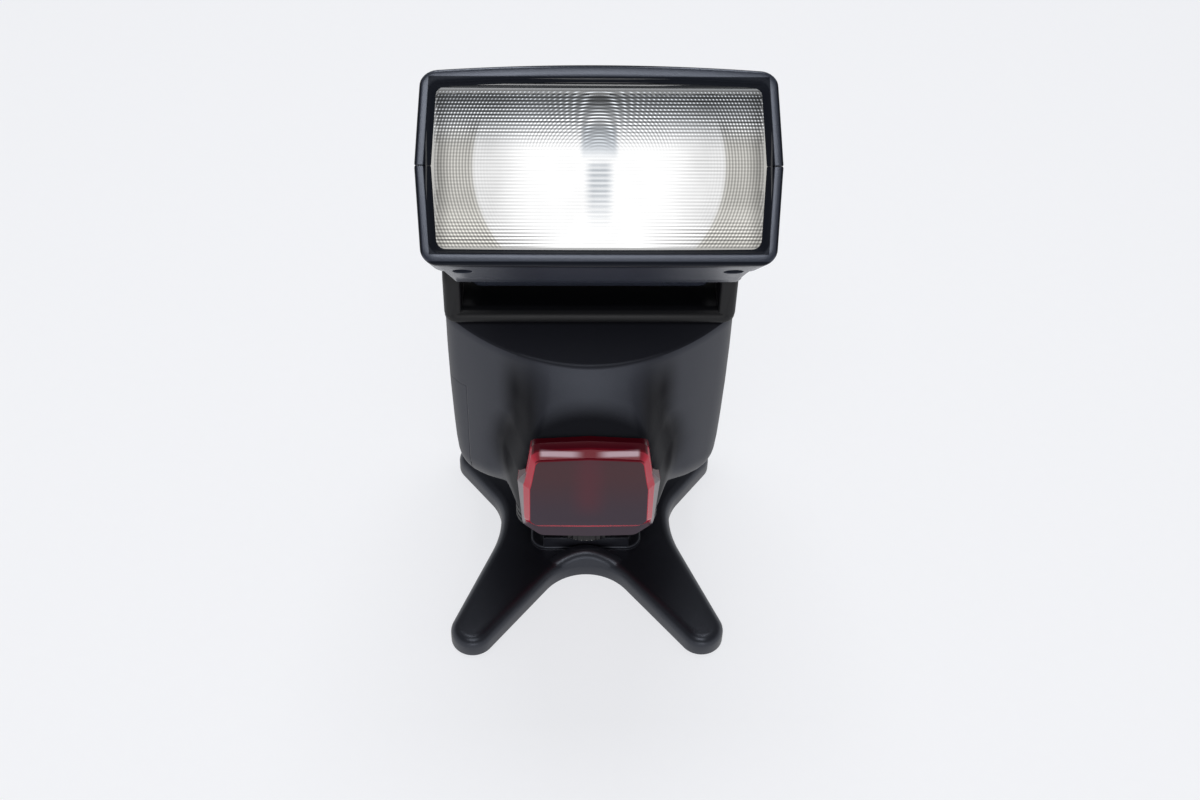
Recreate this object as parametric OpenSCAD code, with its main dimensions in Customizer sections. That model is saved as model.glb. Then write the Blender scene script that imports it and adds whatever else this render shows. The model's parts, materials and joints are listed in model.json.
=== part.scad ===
// Shoe-mount speedlight flash on a mini stand.
// Millimetres, +Z up, lens side towards -Y, +X to the right seen from the front.
// Origin: on the ground, under the centre of the hot-shoe foot.
// The rest pose has the head tilted up by head_tilt and facing straight forward.

/* [Head] */
// Width of the head at the seam between its two shells
head_w = 72; // [70:1:74]
// Height of the head
head_h = 39.4; // [39:0.1:40]
// Distance from the tilt axis to the front face of the head
head_len = 80; // [78:1:84]
// Height of the lens axis above the tilt axis when the head is level
lens_rise = 13; // [12.8:0.1:13.4]
// Tilt of the head above level in the rest pose, in degrees
head_tilt = 45; // [0:5:90]
// Width of the lens opening
lens_w = 66; // [64:1:66]
// Height of the lens opening
lens_h = 33.2; // [32:0.1:33.2]
// Half width of the narrow neck that sits between the swivel arms
neck_hw = 29; // [28.5:0.5:29]
// Travel of the zoom carriage
zoom_travel = 16; // [12:1:17]

/* [Swivel] */
// Height of the tilt axis
pivot_z = 94; // [93.8:0.1:95]
// Distance of the tilt axis and the swivel axis behind the shoe centre
pivot_y = 9.3; // [9:0.1:9.6]
// Radius of the rounded top of each swivel arm
arm_r = 10.4; // [9:0.1:10.8]
// Radius of the tilt pins
tilt_pin_r = 4; // [3:0.1:4]
// Outside radius of the swivel tube
swivel_r = 7; // [6:0.5:7]

/* [Body] */
// Half width of the body at its widest
body_hw = 35.6; // [35.2:0.1:36]
// Height of the flat top of the body
body_top = 82; // [82:0.1:82.2]
// Height of the underside of the body
body_bottom = 24.5; // [24.2:0.1:24.8]
// Distance of the back face behind the shoe centre
body_back = 30; // [29.8:0.1:30.2]
// Wall thickness of every casing
wall = 1.8; // [1.6:0.1:1.9]
// Radius, in plan, of the bowed front of the body
bow_r = 52.5; // [50:0.5:56]
// Running gap between neighbouring parts
gap = 0.1; // [0.05:0.01:0.12]

/* [Foot] */
// Width of the shoe plate
shoe_w = 18.6; // [18.4:0.05:18.6]
// Length of the shoe plate
shoe_len = 18; // [17:0.5:18]
// Thickness of the shoe plate
shoe_t = 2; // [1.9:0.05:2]
// Travel of the locking pin
pin_travel = 1.3; // [1:0.1:1.4]

/* [Mini stand] */
// Thickness of the legs
leg_t = 6; // [5:0.5:6]
// Radius of the rounded tip of each leg
tip_r = 5.8; // [5:0.1:6]
// Half width of the waist
waist_hw = 24; // [22:0.5:26]
// Radius of the threaded bush's hole, the minor radius of a 1/4-20 UNC thread
bush_hole_r = 2.55; // [2.5:0.01:2.6]

/* [Hidden] */
$fn = 48;
EPS = 0.01;

// Derived heights and places
head_hw = head_w / 2;
head_hh = head_h / 2;
head_draft = 1.3;
corner_r = 5.3;
head_bottom = lens_rise - head_hh;
arm_in = 31.2;
arm_out = body_hw;
yoke_z0 = body_top + 0.5;
yoke_z1 = yoke_z0 + 3.7;
seam_y = 21;
bow_front = -12.5;
window_y = -20.2;
shoe_z = 7.25;
shoe_top = shoe_z + shoe_t;
rail_in = 6.4;
flange_z = 11.5;
lever_z0 = 12.6;
lever_z1 = 16.4;
cell_r = 7.25;
cell_len = 50.5;
cell_x0 = -29.1;
cover_top = 61;
cover_front = -3;
cover_pin_x = -33.8;
cover_pin_y = 19.2;
cover_travel = 3;
hinge_boss_z = [30.6, 58.2];
cover_barrel_z = [hinge_boss_z[0] + cover_travel + 0.4, hinge_boss_z[1] - 0.2];
board_y = 25.6;
board_t = 1;
key_travel = 0.8;
key_back = board_y + board_t + key_travel + 0.2;
key_front = body_back + 1;
carriage_rod_z = -4;
carriage_back = -48.5;
screw_z = 6;
screw_x = -29.4;
rod_x = 29.6;
motor_front = carriage_back + zoom_travel + 1;

// ---------- helpers ----------

// Points along an arc, from angle a to angle b
function arc(cx, cy, r, a, b, n = 8) =
    [for (i = [0 : n]) [cx + r * cos(a + (b - a) * i / n), cy + r * sin(a + (b - a) * i / n)]];

// Axis-aligned box between two corners
module block(a, b) translate(a) cube(b - a);

// Box that is symmetric about the plane x = 0
module wide_block(hw, y, z) block([-hw, y[0], z[0]], [hw, y[1], z[1]]);

// Cylinder along X between two x values
module rod_x(x0, x1, y, z, r) translate([x0, y, z]) rotate([0, 90, 0]) cylinder(r = r, h = x1 - x0);

// Cylinder along Y between two y values
module rod_y(y0, y1, x, z, r) translate([x, y0, z]) rotate([-90, 0, 0]) cylinder(r = r, h = y1 - y0);

// Cylinder along Z between two z values
module rod_z(z0, z1, x, y, r) translate([x, y, z0]) cylinder(r = r, h = z1 - z0);

// Flat outline drawn in X and Z, given thickness from y0 to y1
module slab_xz(y0, y1) translate([0, y1, 0]) rotate([90, 0, 0]) linear_extrude(y1 - y0) children();

// Flat outline drawn in Y and Z, given thickness from x0 to x1
module slab_yz(x0, x1) translate([x0, 0, 0]) rotate([90, 0, 90]) linear_extrude(x1 - x0) children();

// Flat outline drawn in X and Y, given thickness from z0 to z1
module slab_xy(z0, z1) translate([0, 0, z0]) linear_extrude(z1 - z0) children();

// Rectangle with true round corners, centred
module round_rect(w, h, r) {
    square([w - 2 * r, h], center = true);
    square([w, h - 2 * r], center = true);
    for (x = [-1, 1], y = [-1, 1]) translate([x * (w / 2 - r), y * (h / 2 - r)]) circle(r);
}

// A part and its mirror image on the other side
module both_sides() {
    children();
    mirror([1, 0, 0]) children();
}

// ---------- mini stand ----------

// Centres of the round tips of the front and rear legs, right side
front_tip = [30.2, -36.5];
rear_tip = [30.2, 24];
waist_y = -3.35;
front_arch_y = -15.6;
rear_arch_y = 11;
// Radius of the hollows at the sides and under the arches
hollow_r = 13.5;

// How far a straight edge cuts into the arcs that it joins, so that they cross
cut_in = 0.05;

// Direction from a hollow's centre to the straight edge that leads to a leg's tip
function edge_turn(hollow, tip, side) =
    atan2(tip[1] - hollow[1], tip[0] - hollow[0]) +
    side * acos((hollow_r + tip_r - 2 * cut_in) / norm(tip - hollow));

// Both ends of that edge, the first on the hollow and the second on the tip
function edge_ends(hollow, tip, side) =
    let (turn = edge_turn(hollow, tip, side), to = [cos(turn), sin(turn)])
    [hollow + (hollow_r - cut_in) * to, tip - (tip_r - cut_in) * to];

// One pair of legs with straight edges, hollowed at both sides and under the arch
module leg_pair(tip, arch_y) {
    back = sign(tip[1]);
    side = [waist_hw + hollow_r, waist_y];
    arch = [0, arch_y + hollow_r * back];
    outer = edge_ends(side, tip, back);
    inner = edge_ends(arch, tip, -back);
    difference() {
        polygon([[side[0], waist_y - 0.1 * back], outer[0], outer[1], tip, inner[1], inner[0], arch,
            [-inner[0][0], inner[0][1]], [-inner[1][0], inner[1][1]], [-tip[0], tip[1]],
            [-outer[1][0], outer[1][1]], [-outer[0][0], outer[0][1]],
            [-side[0], waist_y - 0.1 * back]]);
        for (s = [-1, 1]) translate([s * side[0], waist_y]) circle(hollow_r, $fn = 96);
        translate(arch) circle(hollow_r, $fn = 96);
    }
    for (s = [-1, 1]) translate([s * tip[0], tip[1]]) circle(tip_r);
}

// Plan of the butterfly stand
module stand_plan() {
    leg_pair(front_tip, front_arch_y);
    leg_pair(rear_tip, rear_arch_y);
}

module mini_stand() color([0.06, 0.06, 0.07]) difference() {
    union() {
        slab_xy(0, leg_t) stand_plan();
        slab_xy(leg_t - 1, shoe_z - 0.05) round_rect(30, 23, 4);
        for (s = [-1, 1]) {
            block([min(s * 9.4, s * 11.6), -9.6, leg_t], [max(s * 9.4, s * 11.6), 9.6, 10.9]);
            block([min(s * rail_in, s * 11.6), -9.6, shoe_top + gap],
                  [max(s * rail_in, s * 11.6), 9.6, 10.9]);
        }
        wide_block(11.6, [-11.3, -9.3], [leg_t, 10.9]);
    }
    // Relief for the contact tips, open to the rear
    wide_block(5.6, [-8.5, 14], [6.6, 8]);
    // Socket for the locking pin
    rod_z(shoe_z - pin_travel - 0.5, 7, 0, -6.5, 1.4);
    // Seat of the threaded bush
    rod_z(-1, 5.05, 0, 0, 4.5);
}

module tripod_bush() color([0.75, 0.6, 0.3]) difference() {
    rod_z(0, 5, 0, 0, 4.48);
    rod_z(-1, 6, 0, 0, bush_hole_r);
}

// ---------- foot ----------

contact_spots = [[0, 0], [-3.6, 2.6], [3.6, 2.6], [-3.6, -2.6], [3.6, -2.6]];

module shoe_foot() color([0.72, 0.72, 0.74]) difference() {
    union() {
        slab_xy(shoe_z, shoe_top) round_rect(shoe_w, shoe_len, 1.5);
        slab_xy(shoe_top - EPS, flange_z + EPS) round_rect(12.2, 16, 2);
        rod_z(flange_z, lever_z0 - gap, 0, 0, 13);
        rod_z(flange_z, lever_z0 - 0.02, 0, 0, 10.8);
    }
    for (p = contact_spots) rod_z(shoe_z - 1, lever_z0 + 1, p[0], p[1], 1.3);
    rod_z(shoe_z - 1, lever_z0 + 1, 0, -6.5, 0.95);
}

module foot_contacts() color([0.85, 0.7, 0.3])
    for (p = contact_spots) rod_z(shoe_z - 0.35, lever_z0 + 2, p[0], p[1], p[0] == 0 ? 1.2 : 0.8);

// Plastic collar between the body and the shoe foot; the lever turns around its boss
module foot_housing() color([0.1, 0.1, 0.11]) difference() {
    union() {
        rod_z(lever_z0, lever_z1 + 0.3, 0, 0, 11);
        slab_xy(lever_z1 + 0.2, body_bottom - 0.05) round_rect(40, 30, 6);
    }
    for (p = contact_spots) rod_z(lever_z0 - 1, lever_z0 + 2.1, p[0], p[1], 1.3);
    rod_z(lever_z0 - 1, 17.6, 0, -6.5, 1.3);
    rod_z(19, body_bottom + 1, 0, 0, 5);
    rod_z(lever_z0 + 2, 20, 0, 0, 2);
}

// Ring with an arm that reaches out at the back
module lock_lever() color([0.08, 0.08, 0.09]) rotate([0, 0, 30]) difference() {
    union() {
        rod_z(lever_z0, lever_z1, 0, 0, 14);
        slab_xy(lever_z0, lever_z1) translate([0, 20]) round_rect(11, 19, 3);
    }
    rod_z(lever_z0 - 1, lever_z1 + 1, 0, 0, 11.08);
    block([-6, 21, 13.4], [-1.8, 25.5, 15.6]);
}

module lock_release_button() color([0.3, 0.3, 0.32]) rotate([0, 0, 30])
    block([-6.3, 21.15, 13.5], [-3.1, 25.35, 15.5]);

module locking_pin() color([0.8, 0.8, 0.82]) rod_z(shoe_z + 0.05, 16, 0, -6.5, 0.9);

// ---------- body ----------

// Plan of the body with every wall moved in by t
module body_plan(t) intersection() {
    translate([0, bow_front + bow_r]) circle(bow_r - t, $fn = 160);
    translate([-body_hw + t, -30]) square([2 * (body_hw - t), 30 + body_back - t]);
}

// Front view of the body with every wall moved in by t
module body_front_view(t) polygon([
    [30 - t, body_bottom + t], [33.2 - t, 28.5 + t / 3], [34.6 - t, 38], [35.4 - t, 58],
    [body_hw - t, 70], [body_hw - t, body_top - t], [t - body_hw, body_top - t],
    [t - body_hw, 70], [t - 35.4, 58], [t - 34.6, 38], [t - 33.2, 28.5 + t / 3],
    [t - 30, body_bottom + t]]);

// Side view of the body with every wall moved in by t: the top slopes down at the front
module body_side_view(t) polygon([
    [-30, body_top - 10.5 - t], [-1, body_top - t], [body_back - 3 - t / 2, body_top - t],
    [body_back - t, body_top - 3 - t / 2], [body_back - t, body_bottom + 4],
    [body_back - 4 - t / 2, body_bottom + t], [4, body_bottom + t], [-30, body_bottom + 7 + t]]);

// Nose under the bow that carries the window
module body_nose(t) hull() for (s = [-1, 1]) {
    translate([s * 16.5, window_y + 5, 27 + t]) cylinder(r = 5 - t, h = 3, $fn = 32);
    translate([s * 15.5, window_y + 5, 61]) sphere(r = 5 - t, $fn = 24);
    translate([s * 6, -7.5, 74.5]) sphere(r = 3.5 - t / 2, $fn = 24);
    translate([s * 16, -4, 27 + t]) cylinder(r = 3, h = 3, $fn = 16);
}

// Outside of the body without its nose, with every wall moved in by t
module body_core(t) intersection() {
    slab_xy(body_bottom - 1, body_top + 1) body_plan(t);
    slab_xz(-31, body_back + 1) body_front_view(t);
    slab_yz(-40, 40) body_side_view(t);
}

// Whole outside of the body with every wall moved in by t
module body_solid(t) union() {
    body_core(t);
    body_nose(t);
}

// Opening for the battery cover, cut through the side and the lower edge
module cover_opening(g) difference() {
    block([-40, cover_front - g, body_bottom - 5], [-30.6 + g, seam_y + 0.1, cover_top + g]);
    // Bosses for the hinge pin stay on the shell
    block([-40, cover_pin_y - 1.8, body_bottom - 6], [-30, seam_y + 1, hinge_boss_z[0]]);
    block([-40, cover_pin_y - 1.8, hinge_boss_z[1]], [-30, seam_y + 1, cover_top + 2]);
}

body_screw_spots = [[29.6, 77.2], [-29.6, 77.2], [29, 30.2], [-20, 30.2]];

module body_front_shell() color([0.2, 0.21, 0.24]) difference() {
    union() {
        intersection() {
            difference() {
                body_solid(0);
                body_solid(wall);
            }
            block([-50, -40, 0], [50, seam_y, 100]);
        }
        // Screw bosses
        intersection() {
            for (p = body_screw_spots) {
                rib_z = p[1] > 50 ? [p[1], 90] : [20, p[1]];
                rod_y(15.5, seam_y, p[0], p[1], 3);
                block([p[0] - 1.2, 15.5, rib_z[0]], [p[0] + 1.2, seam_y, rib_z[1]]);
            }
            body_core(0.5);
        }
        // Solid cores for the hinge bosses
        intersection() {
            union() {
                block([-40, 16.6, body_bottom - 1], [-31.6, seam_y, hinge_boss_z[0]]);
                block([-40, 16.6, hinge_boss_z[1]], [-31.6, seam_y, 65]);
            }
            body_core(0.1);
        }
    }
    for (p = body_screw_spots) rod_y(14, seam_y + 1, p[0], p[1], 0.95);
    // Swivel bore, window opening and wire passage
    rod_z(body_top - 6, body_top + 5, 0, pivot_y, swivel_r + 0.08);
    wide_block(14.3, [-30, -10], [33.8, 59.2]);
    rod_z(body_bottom - 3, body_bottom + 4, 0, 0, 4);
    cover_opening(gap);
    rod_z(body_bottom - 3, 61.8, cover_pin_x, cover_pin_y, 0.86);
}

// Key places on the back: x, z, half width, half height
key_spots = [[19, 52, 4.2, 2.1], [6.4, 52, 4.2, 2.1], [-6.4, 52, 4.2, 2.1], [-19, 52, 4.2, 2.1]];
pad_z = 38.5;
pad_r0 = 4.2;
pad_r1 = 9.6;
test_x = -24;
switch_x = 23.5;

module body_rear_shell() color([0.2, 0.21, 0.24]) difference() {
    intersection() {
        union() {
            difference() {
                body_core(0);
                body_core(wall);
            }
            // Screw bosses
            intersection() {
                for (p = body_screw_spots) rod_y(seam_y, body_back, p[0], p[1], 3.1);
                body_core(0.5);
            }
        }
        block([-50, seam_y + 0.05, 0], [50, 60, 100]);
    }
    // Display opening
    wide_block(18.1, [20, 40], [58.9, 76.6]);
    for (k = key_spots) translate([k[0], 0, k[1]])
        wide_block(k[2] + gap, [20, 40], [-k[3] - gap, k[3] + gap]);
    rod_y(20, 40, 0, pad_z, pad_r1 + gap);
    rod_y(20, 40, test_x, pad_z, 3.1);
    block([switch_x - 2.2, 20, 33], [switch_x + 2.2, 40, 44]);
    for (p = body_screw_spots) {
        rod_y(20, 40, p[0], p[1], 1.2);
        rod_y(body_back - 3.6, 40, p[0], p[1], 2.2);
    }
}

// Red window: raised block with slanted edges, and a boss that plugs into the nose
module af_window() color([0.75, 0.05, 0.1, 0.7]) difference() {
    union() {
        hull() {
            slab_xz(window_y - 0.6, window_y - 0.05) polygon([[-12.5, 62], [12.5, 62],
                [17.8, 48], [17.3, 33], [14, 29.4], [-14, 29.4], [-17.3, 33], [-17.8, 48]]);
            slab_xz(window_y - 4.8, window_y - 4.2) polygon([[-13, 60], [13, 60], [14.6, 46],
                [14.2, 34.5], [12.5, 33.2], [-12.5, 33.2], [-14.2, 34.5], [-14.6, 46]]);
        }
        wide_block(14.2, [window_y - 0.1, -17.6], [33.9, 59.1]);
    }
    wide_block(12.4, [window_y - 3, -17], [36, 57]);
}

module af_emitter() color([0.15, 0.15, 0.16]) union() {
    wide_block(9, [-14, -9.5], [40, 52]);
    rod_y(-16.8, -14, 0, 46, 4.5);
}

module wireless_sensor() color([0.1, 0.1, 0.12]) union() {
    wide_block(6, [-13.5, -11], [53.5, 57]);
    rod_y(-16, -13.5, 0, 55.2, 1.6);
}

module lcd_window() color([0.5, 0.55, 0.55, 0.5]) wide_block(18, [28.75, 30.15], [59, 76.5]);
module lcd_panel() color([0.55, 0.62, 0.5]) wide_block(18.6, [27.1, 28.15], [58.2, 77.2]);
module lcd_backlight() color([0.95, 0.95, 0.9]) wide_block(18.6, [26.65, 27.05], [58.2, 77.2]);

module control_board() color([0.1, 0.35, 0.2]) difference() {
    wide_block(28, [board_y, board_y + board_t], [33.5, 79]);
    for (x = [-1, 1]) block([x * 28 - 3, 20, 73], [x * 28 + 3, 30, 80]);
}

module power_board() color([0.1, 0.35, 0.2]) block([23.4, 1.5, 32.5], [24.6, 14.8, 72]);

capacitor_r = 8.9;
capacitor_y = 4.5;
capacitor_z = 66.2;

module main_capacitor() color([0.12, 0.12, 0.3])
    rod_x(-20, 20, capacitor_y, capacitor_z, capacitor_r);

module transformer() color([0.7, 0.6, 0.2]) union() {
    block([24.7, 3.5, 38], [32.4, 14.5, 50]);
    block([24.7, 5, 36.6], [31.4, 13, 51.4]);
}

// Staggered places of the four cells: y, z
cell_spots = [[5.7, 35.2], [5.7, 49.9], [18.2, 42.5], [18.2, 57.2]];

module battery_tray() color([0.13, 0.13, 0.14]) difference() {
    union() for (c = cell_spots) rod_x(-28, cell_x0 + cell_len + 1.2, c[0], c[1], cell_r + 0.45);
    for (c = cell_spots) rod_x(-31, cell_x0 + cell_len + 0.4, c[0], c[1], cell_r + 0.12);
    // Only the inner third of each sleeve is kept
    block([-32, -10, 20], [2, 40, 80]);
    // Clear of the control board and the capacitor
    block([-32, board_y - 0.2, 20], [40, 40, 80]);
    rod_x(-32, 40, capacitor_y, capacitor_z, capacitor_r + 0.2);
}

module aa_cells() color([0.75, 0.6, 0.3]) for (i = [0 : 3]) {
    flip = i % 2 == 0 ? 1 : -1;
    mid = cell_x0 + cell_len / 2;
    translate([mid, cell_spots[i][0], cell_spots[i][1]]) rotate([0, flip * 90, 0]) {
        translate([0, 0, -cell_len / 2 + 0.2]) cylinder(r = cell_r - 0.05, h = cell_len - 1.6);
        translate([0, 0, cell_len / 2 - 1.5]) cylinder(r = 2.7, h = 1.3);
    }
}

module battery_contacts() color([0.85, 0.85, 0.8]) for (c = cell_spots)
    rod_x(cell_x0 + cell_len + 0.05, cell_x0 + cell_len + 0.38, c[0], c[1], 4);

module battery_cover() color([0.2, 0.21, 0.24]) difference() {
    union() {
        intersection() {
            difference() {
                body_core(0.02);
                body_core(wall + 0.1);
            }
            block([-40, cover_front, body_bottom - 5], [-31, cover_pin_y, cover_top]);
        }
        rod_z(cover_barrel_z[0], cover_barrel_z[1], cover_pin_x, cover_pin_y, 1.55);
    }
    // Clear of the two hinge bosses, with room to slide down
    block([-40, cover_pin_y - 2.6, body_bottom - 6], [-30, seam_y + 1, cover_barrel_z[0]]);
    block([-40, cover_pin_y - 2.6, cover_barrel_z[1]], [-30, seam_y + 1, cover_top + 2]);
    rod_z(20, 70, cover_pin_x, cover_pin_y, 0.85);
}

module battery_cover_pin() color([0.8, 0.8, 0.82])
    rod_z(28.6, 61.4, cover_pin_x, cover_pin_y, 0.8);

// One rectangular key with its retaining flange
module key(i) translate([key_spots[i][0], 0, key_spots[i][1]]) {
    w = key_spots[i][2];
    h = key_spots[i][3];
    wide_block(w, [key_back, key_front], [-h, h]);
    wide_block(w + 0.8, [key_back, 28.1], [-h - 0.6, h + 0.6]);
}

module mode_button() color([0.25, 0.25, 0.27]) key(1);
module sync_button() color([0.25, 0.25, 0.27]) key(0);
module zoom_button() color([0.25, 0.25, 0.27]) key(2);
module light_button() color([0.25, 0.25, 0.27]) key(3);

module test_button() color([0.55, 0.1, 0.1]) union() {
    rod_y(key_back, key_front, test_x, pad_z, 3);
    rod_y(key_back, 28.1, test_x, pad_z, 3.6);
}

module set_key() color([0.25, 0.25, 0.27]) rod_y(key_back, key_front, 0, pad_z, pad_r0 - gap);

// A quarter of the round key pad, centred on angle a
module pad_quarter(a) translate([0, 0, pad_z]) rotate([0, -a, 0]) slab_xz(key_back, key_front)
    difference() {
        circle(pad_r1, $fn = 64);
        circle(pad_r0);
        for (s = [-1, 1]) rotate(s * 45) translate([s == 1 ? -20 : -20, s == 1 ? -0.15 : -20])
            square([40, 20.15]);
        translate([-20, -20]) square([20, 40]);
    }

module up_key() color([0.22, 0.22, 0.24]) pad_quarter(90);
module down_key() color([0.22, 0.22, 0.24]) pad_quarter(-90);
module left_key() color([0.22, 0.22, 0.24]) pad_quarter(0);
module right_key() color([0.22, 0.22, 0.24]) pad_quarter(180);

module power_switch() color([0.3, 0.3, 0.32]) union() {
    block([switch_x - 2.1, key_back, 33.2], [switch_x + 2.1, 30.6, 38.6]);
    block([switch_x - 1.4, 30.5, 34.4], [switch_x + 1.4, 31.4, 37.4]);
}

module body_screws() color([0.15, 0.15, 0.16]) for (p = body_screw_spots) {
    rod_y(16, body_back - 3.5, p[0], p[1], 0.9);
    rod_y(body_back - 3.6 + 0.02, body_back - 2.2, p[0], p[1], 2);
}

// ---------- swivel bracket ----------

module arm() slab_yz(arm_in, arm_out) {
    translate([pivot_y, pivot_z]) circle(arm_r, $fn = 96);
    translate([pivot_y - arm_r, yoke_z0]) square([2 * arm_r, pivot_z - yoke_z0]);
}

module swivel_bracket() color([0.12, 0.12, 0.13]) difference() {
    union() {
        slab_xy(yoke_z0, yoke_z1) translate([0, pivot_y]) round_rect(2 * arm_out, 22, 3);
        both_sides() arm();
    }
    rod_z(yoke_z0 - 1, yoke_z1 + 1, 0, pivot_y, swivel_r + 0.05);
    rod_x(-40, 40, pivot_y, pivot_z, tilt_pin_r + 0.05);
    rod_x(arm_in + 1.4, 40, pivot_y, pivot_z, 5.6);
}

module swivel_tube() color([0.7, 0.7, 0.72]) difference() {
    rod_z(75.8, yoke_z1 - 0.2, 0, pivot_y, swivel_r);
    rod_z(70, 90, 0, pivot_y, swivel_r - 2.2);
}

module swivel_retainer() color([0.6, 0.6, 0.62]) difference() {
    rod_z(76.5, 78.2, 0, pivot_y, swivel_r + 3);
    rod_z(70, 90, 0, pivot_y, swivel_r + 0.02);
}

module friction_washer() color([0.8, 0.75, 0.6]) difference() {
    rod_z(78.25, body_top - wall - 0.05, 0, pivot_y, swivel_r + 2.6);
    rod_z(70, 90, 0, pivot_y, swivel_r + 0.1);
}

// ---------- head, drawn level with the tilt axis at the origin ----------

module place_head() translate([0, pivot_y, pivot_z]) rotate([-head_tilt, 0, 0]) children();
// The same, with the lens axis at z = 0
module place_lens() place_head() translate([0, 0, lens_rise]) children();

// Cross-section of the head, with every wall moved in by t; widest at the seam
module head_section(t) {
    w = head_hw - t;
    h = head_hh - t;
    r = corner_r - t * 0.8;
    lean = atan(head_draft / head_hh);
    cx = w - head_draft * (h - r) / head_hh - r / cos(lean);
    upper = concat([[w, 0]], arc(cx, h - r, r, lean, 90), arc(-cx, h - r, r, 90, 180 - lean), [[-w, 0]]);
    polygon(concat(upper, [for (i = [len(upper) - 2 : -1 : 1]) [upper[i][0], -upper[i][1]]]));
}

// Side view of the wide part of the head, cut back around the swivel arms
module cheek_view(t) difference() {
    polygon([[-head_len, head_bottom + t], [-60, head_bottom + t], [-12, 4 + t], [2 - t, 12],
        [2 - t, lens_rise + 12], [-22, lens_rise + head_hh - t], [-head_len, lens_rise + head_hh - t]]);
    circle(arm_r + 2.2 + t, $fn = 96);
}

// Side view of the neck, rounded about the tilt axis
module neck_view(t) {
    circle(7.2 - t);
    polygon([[-66, head_bottom + 2.2 + t], [0, -7.2 + t], [7.2 - t, 0], [7.2 - t, 15],
        [2, lens_rise + 11 - t], [-22, lens_rise + head_hh - 0.6 - t], [-66, lens_rise + head_hh - 0.6 - t]]);
}

// Side view of the shallow belly that swells under the head behind its front edge
module belly_view(t) polygon([[-77, head_bottom + t], [-60, head_bottom - 2.2 + t],
    [-56.5, head_bottom + 3 + t], [-77, head_bottom + 3 + t]]);

// Whole outside of the head with every wall moved in by t
module head_solid(t) union() {
    intersection() {
        translate([0, 0, lens_rise]) slab_xz(-head_len + (t > 0 ? 2.3 : 0), 20) head_section(t);
        slab_yz(-40, 40) cheek_view(t);
    }
    slab_yz(-31.5 + t, 31.5 - t) belly_view(t);
    slab_yz(-neck_hw + t, neck_hw - t) neck_view(t);
}

// Material of both head shells: walls, front lip and lens opening
module head_walls() difference() {
    head_solid(0);
    head_solid(wall);
    translate([0, 0, lens_rise]) slab_xz(-head_len - 1, -head_len + 5) round_rect(lens_w, lens_h, 2.8);
}

head_screw_spots = [[28, -72.2], [20, -22]];

// Height of the underside of a head screw's head, from the front or the rear spot
function screw_seat(p) = p[1] < -60 ? head_bottom + 3.4 : -0.6;

module head_upper_shell() color([0.16, 0.17, 0.2]) place_head() difference() {
    union() {
        intersection() {
            head_walls();
            block([-50, -100, lens_rise + 0.03], [50, 30, 60]);
        }
        // Pillars for the screws that join the shells
        both_sides() intersection() {
            union() {
                rod_z(lens_rise + 0.03, lens_rise + 14, head_screw_spots[0][0], head_screw_spots[0][1], 1.7);
                block([28, -73.4, lens_rise + 0.03], [36, -71, lens_rise + 12]);
                rod_z(lens_rise + 0.03, 60, head_screw_spots[1][0], head_screw_spots[1][1], 1.9);
            }
            head_solid(0.1);
        }
    }
    both_sides() for (p = head_screw_spots) rod_z(0, lens_rise + 8, p[0], p[1], 0.85);
}

module head_lower_shell() color([0.16, 0.17, 0.2]) place_head() difference() {
    union() {
        intersection() {
            head_walls();
            block([-50, -100, -20], [50, 30, lens_rise]);
        }
        intersection() {
            union() {
                both_sides() for (p = head_screw_spots) {
                    rod_z(-9, screw_seat(p) + 1.2, p[0], p[1], 2.7);
                    rod_z(-9, lens_rise, p[0], p[1], 1.7);
                }
                // Blocks that hold the ends of the guide rods
                both_sides() block([rod_x - 1.8, -69.4, 5], [35, -67, lens_rise - 1.6]);
                both_sides() block([rod_x - 1.8, -34, 5], [35, -31.6, lens_rise - 1.6]);
                // Seats of the tilt pins
                both_sides() rod_x(neck_hw - 5, neck_hw, 0, 0, 6);
            }
            head_solid(0.1);
        }
    }
    both_sides() for (p = head_screw_spots) {
        rod_z(-12, lens_rise + 1, p[0], p[1], 0.95);
        rod_z(-12, screw_seat(p), p[0], p[1], 2.05);
    }
    both_sides() rod_y(-69.2, -31.7, rod_x, lens_rise + carriage_rod_z, 1);
    both_sides() rod_x(10, 40, 0, 0, tilt_pin_r);
}

module fresnel_lens() color([0.93, 0.95, 0.96, 0.6]) place_lens() union() {
    slab_xz(-head_len + 1, -head_len + 3.2) intersection() {
        round_rect(lens_w - 0.3, lens_h - 0.3, 2.7);
        translate([-40, -20]) square([80, 20 + lens_h / 2 - 1.4]);
    }
    slab_xz(-head_len + 2.35, -head_len + 3.6) intersection() {
        head_section(wall + 0.1);
        translate([-40, -20]) square([80, 20 + lens_h / 2 - 1.4]);
    }
}

module wide_panel() color([0.9, 0.92, 0.94, 0.6]) place_lens() union() {
    panel_z0 = lens_h / 2 - 1.25;
    wide_block(30, [-head_len + 1, -38], [panel_z0, panel_z0 + 1.05]);
}

module head_screws() color([0.12, 0.12, 0.13]) place_head() both_sides()
    for (p = head_screw_spots) {
        rod_z(screw_seat(p) - 1.5, screw_seat(p) - 0.02, p[0], p[1], 1.95);
        rod_z(screw_seat(p) - 0.1, lens_rise + 7, p[0], p[1], 0.8);
    }

module tilt_pins() color([0.7, 0.7, 0.72]) place_head() difference() {
    union() {
        rod_x(neck_hw - 5, arm_in + 1.2, 0, 0, tilt_pin_r - 0.01);
        rod_x(-arm_out + 0.6, -neck_hw + 5, 0, 0, tilt_pin_r - 0.01);
        both_sides() rod_x(neck_hw + 0.05, arm_in - 0.1, 0, 0, 6);
    }
    rod_x(-40, 40, 0, 0, 2);
}

module tilt_release_button() color([0.16, 0.16, 0.18]) difference() {
    rod_x(34, 37, pivot_y, pivot_z, 5.5);
    rod_x(33, 35.4, pivot_y, pivot_z, 3.4);
}

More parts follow.
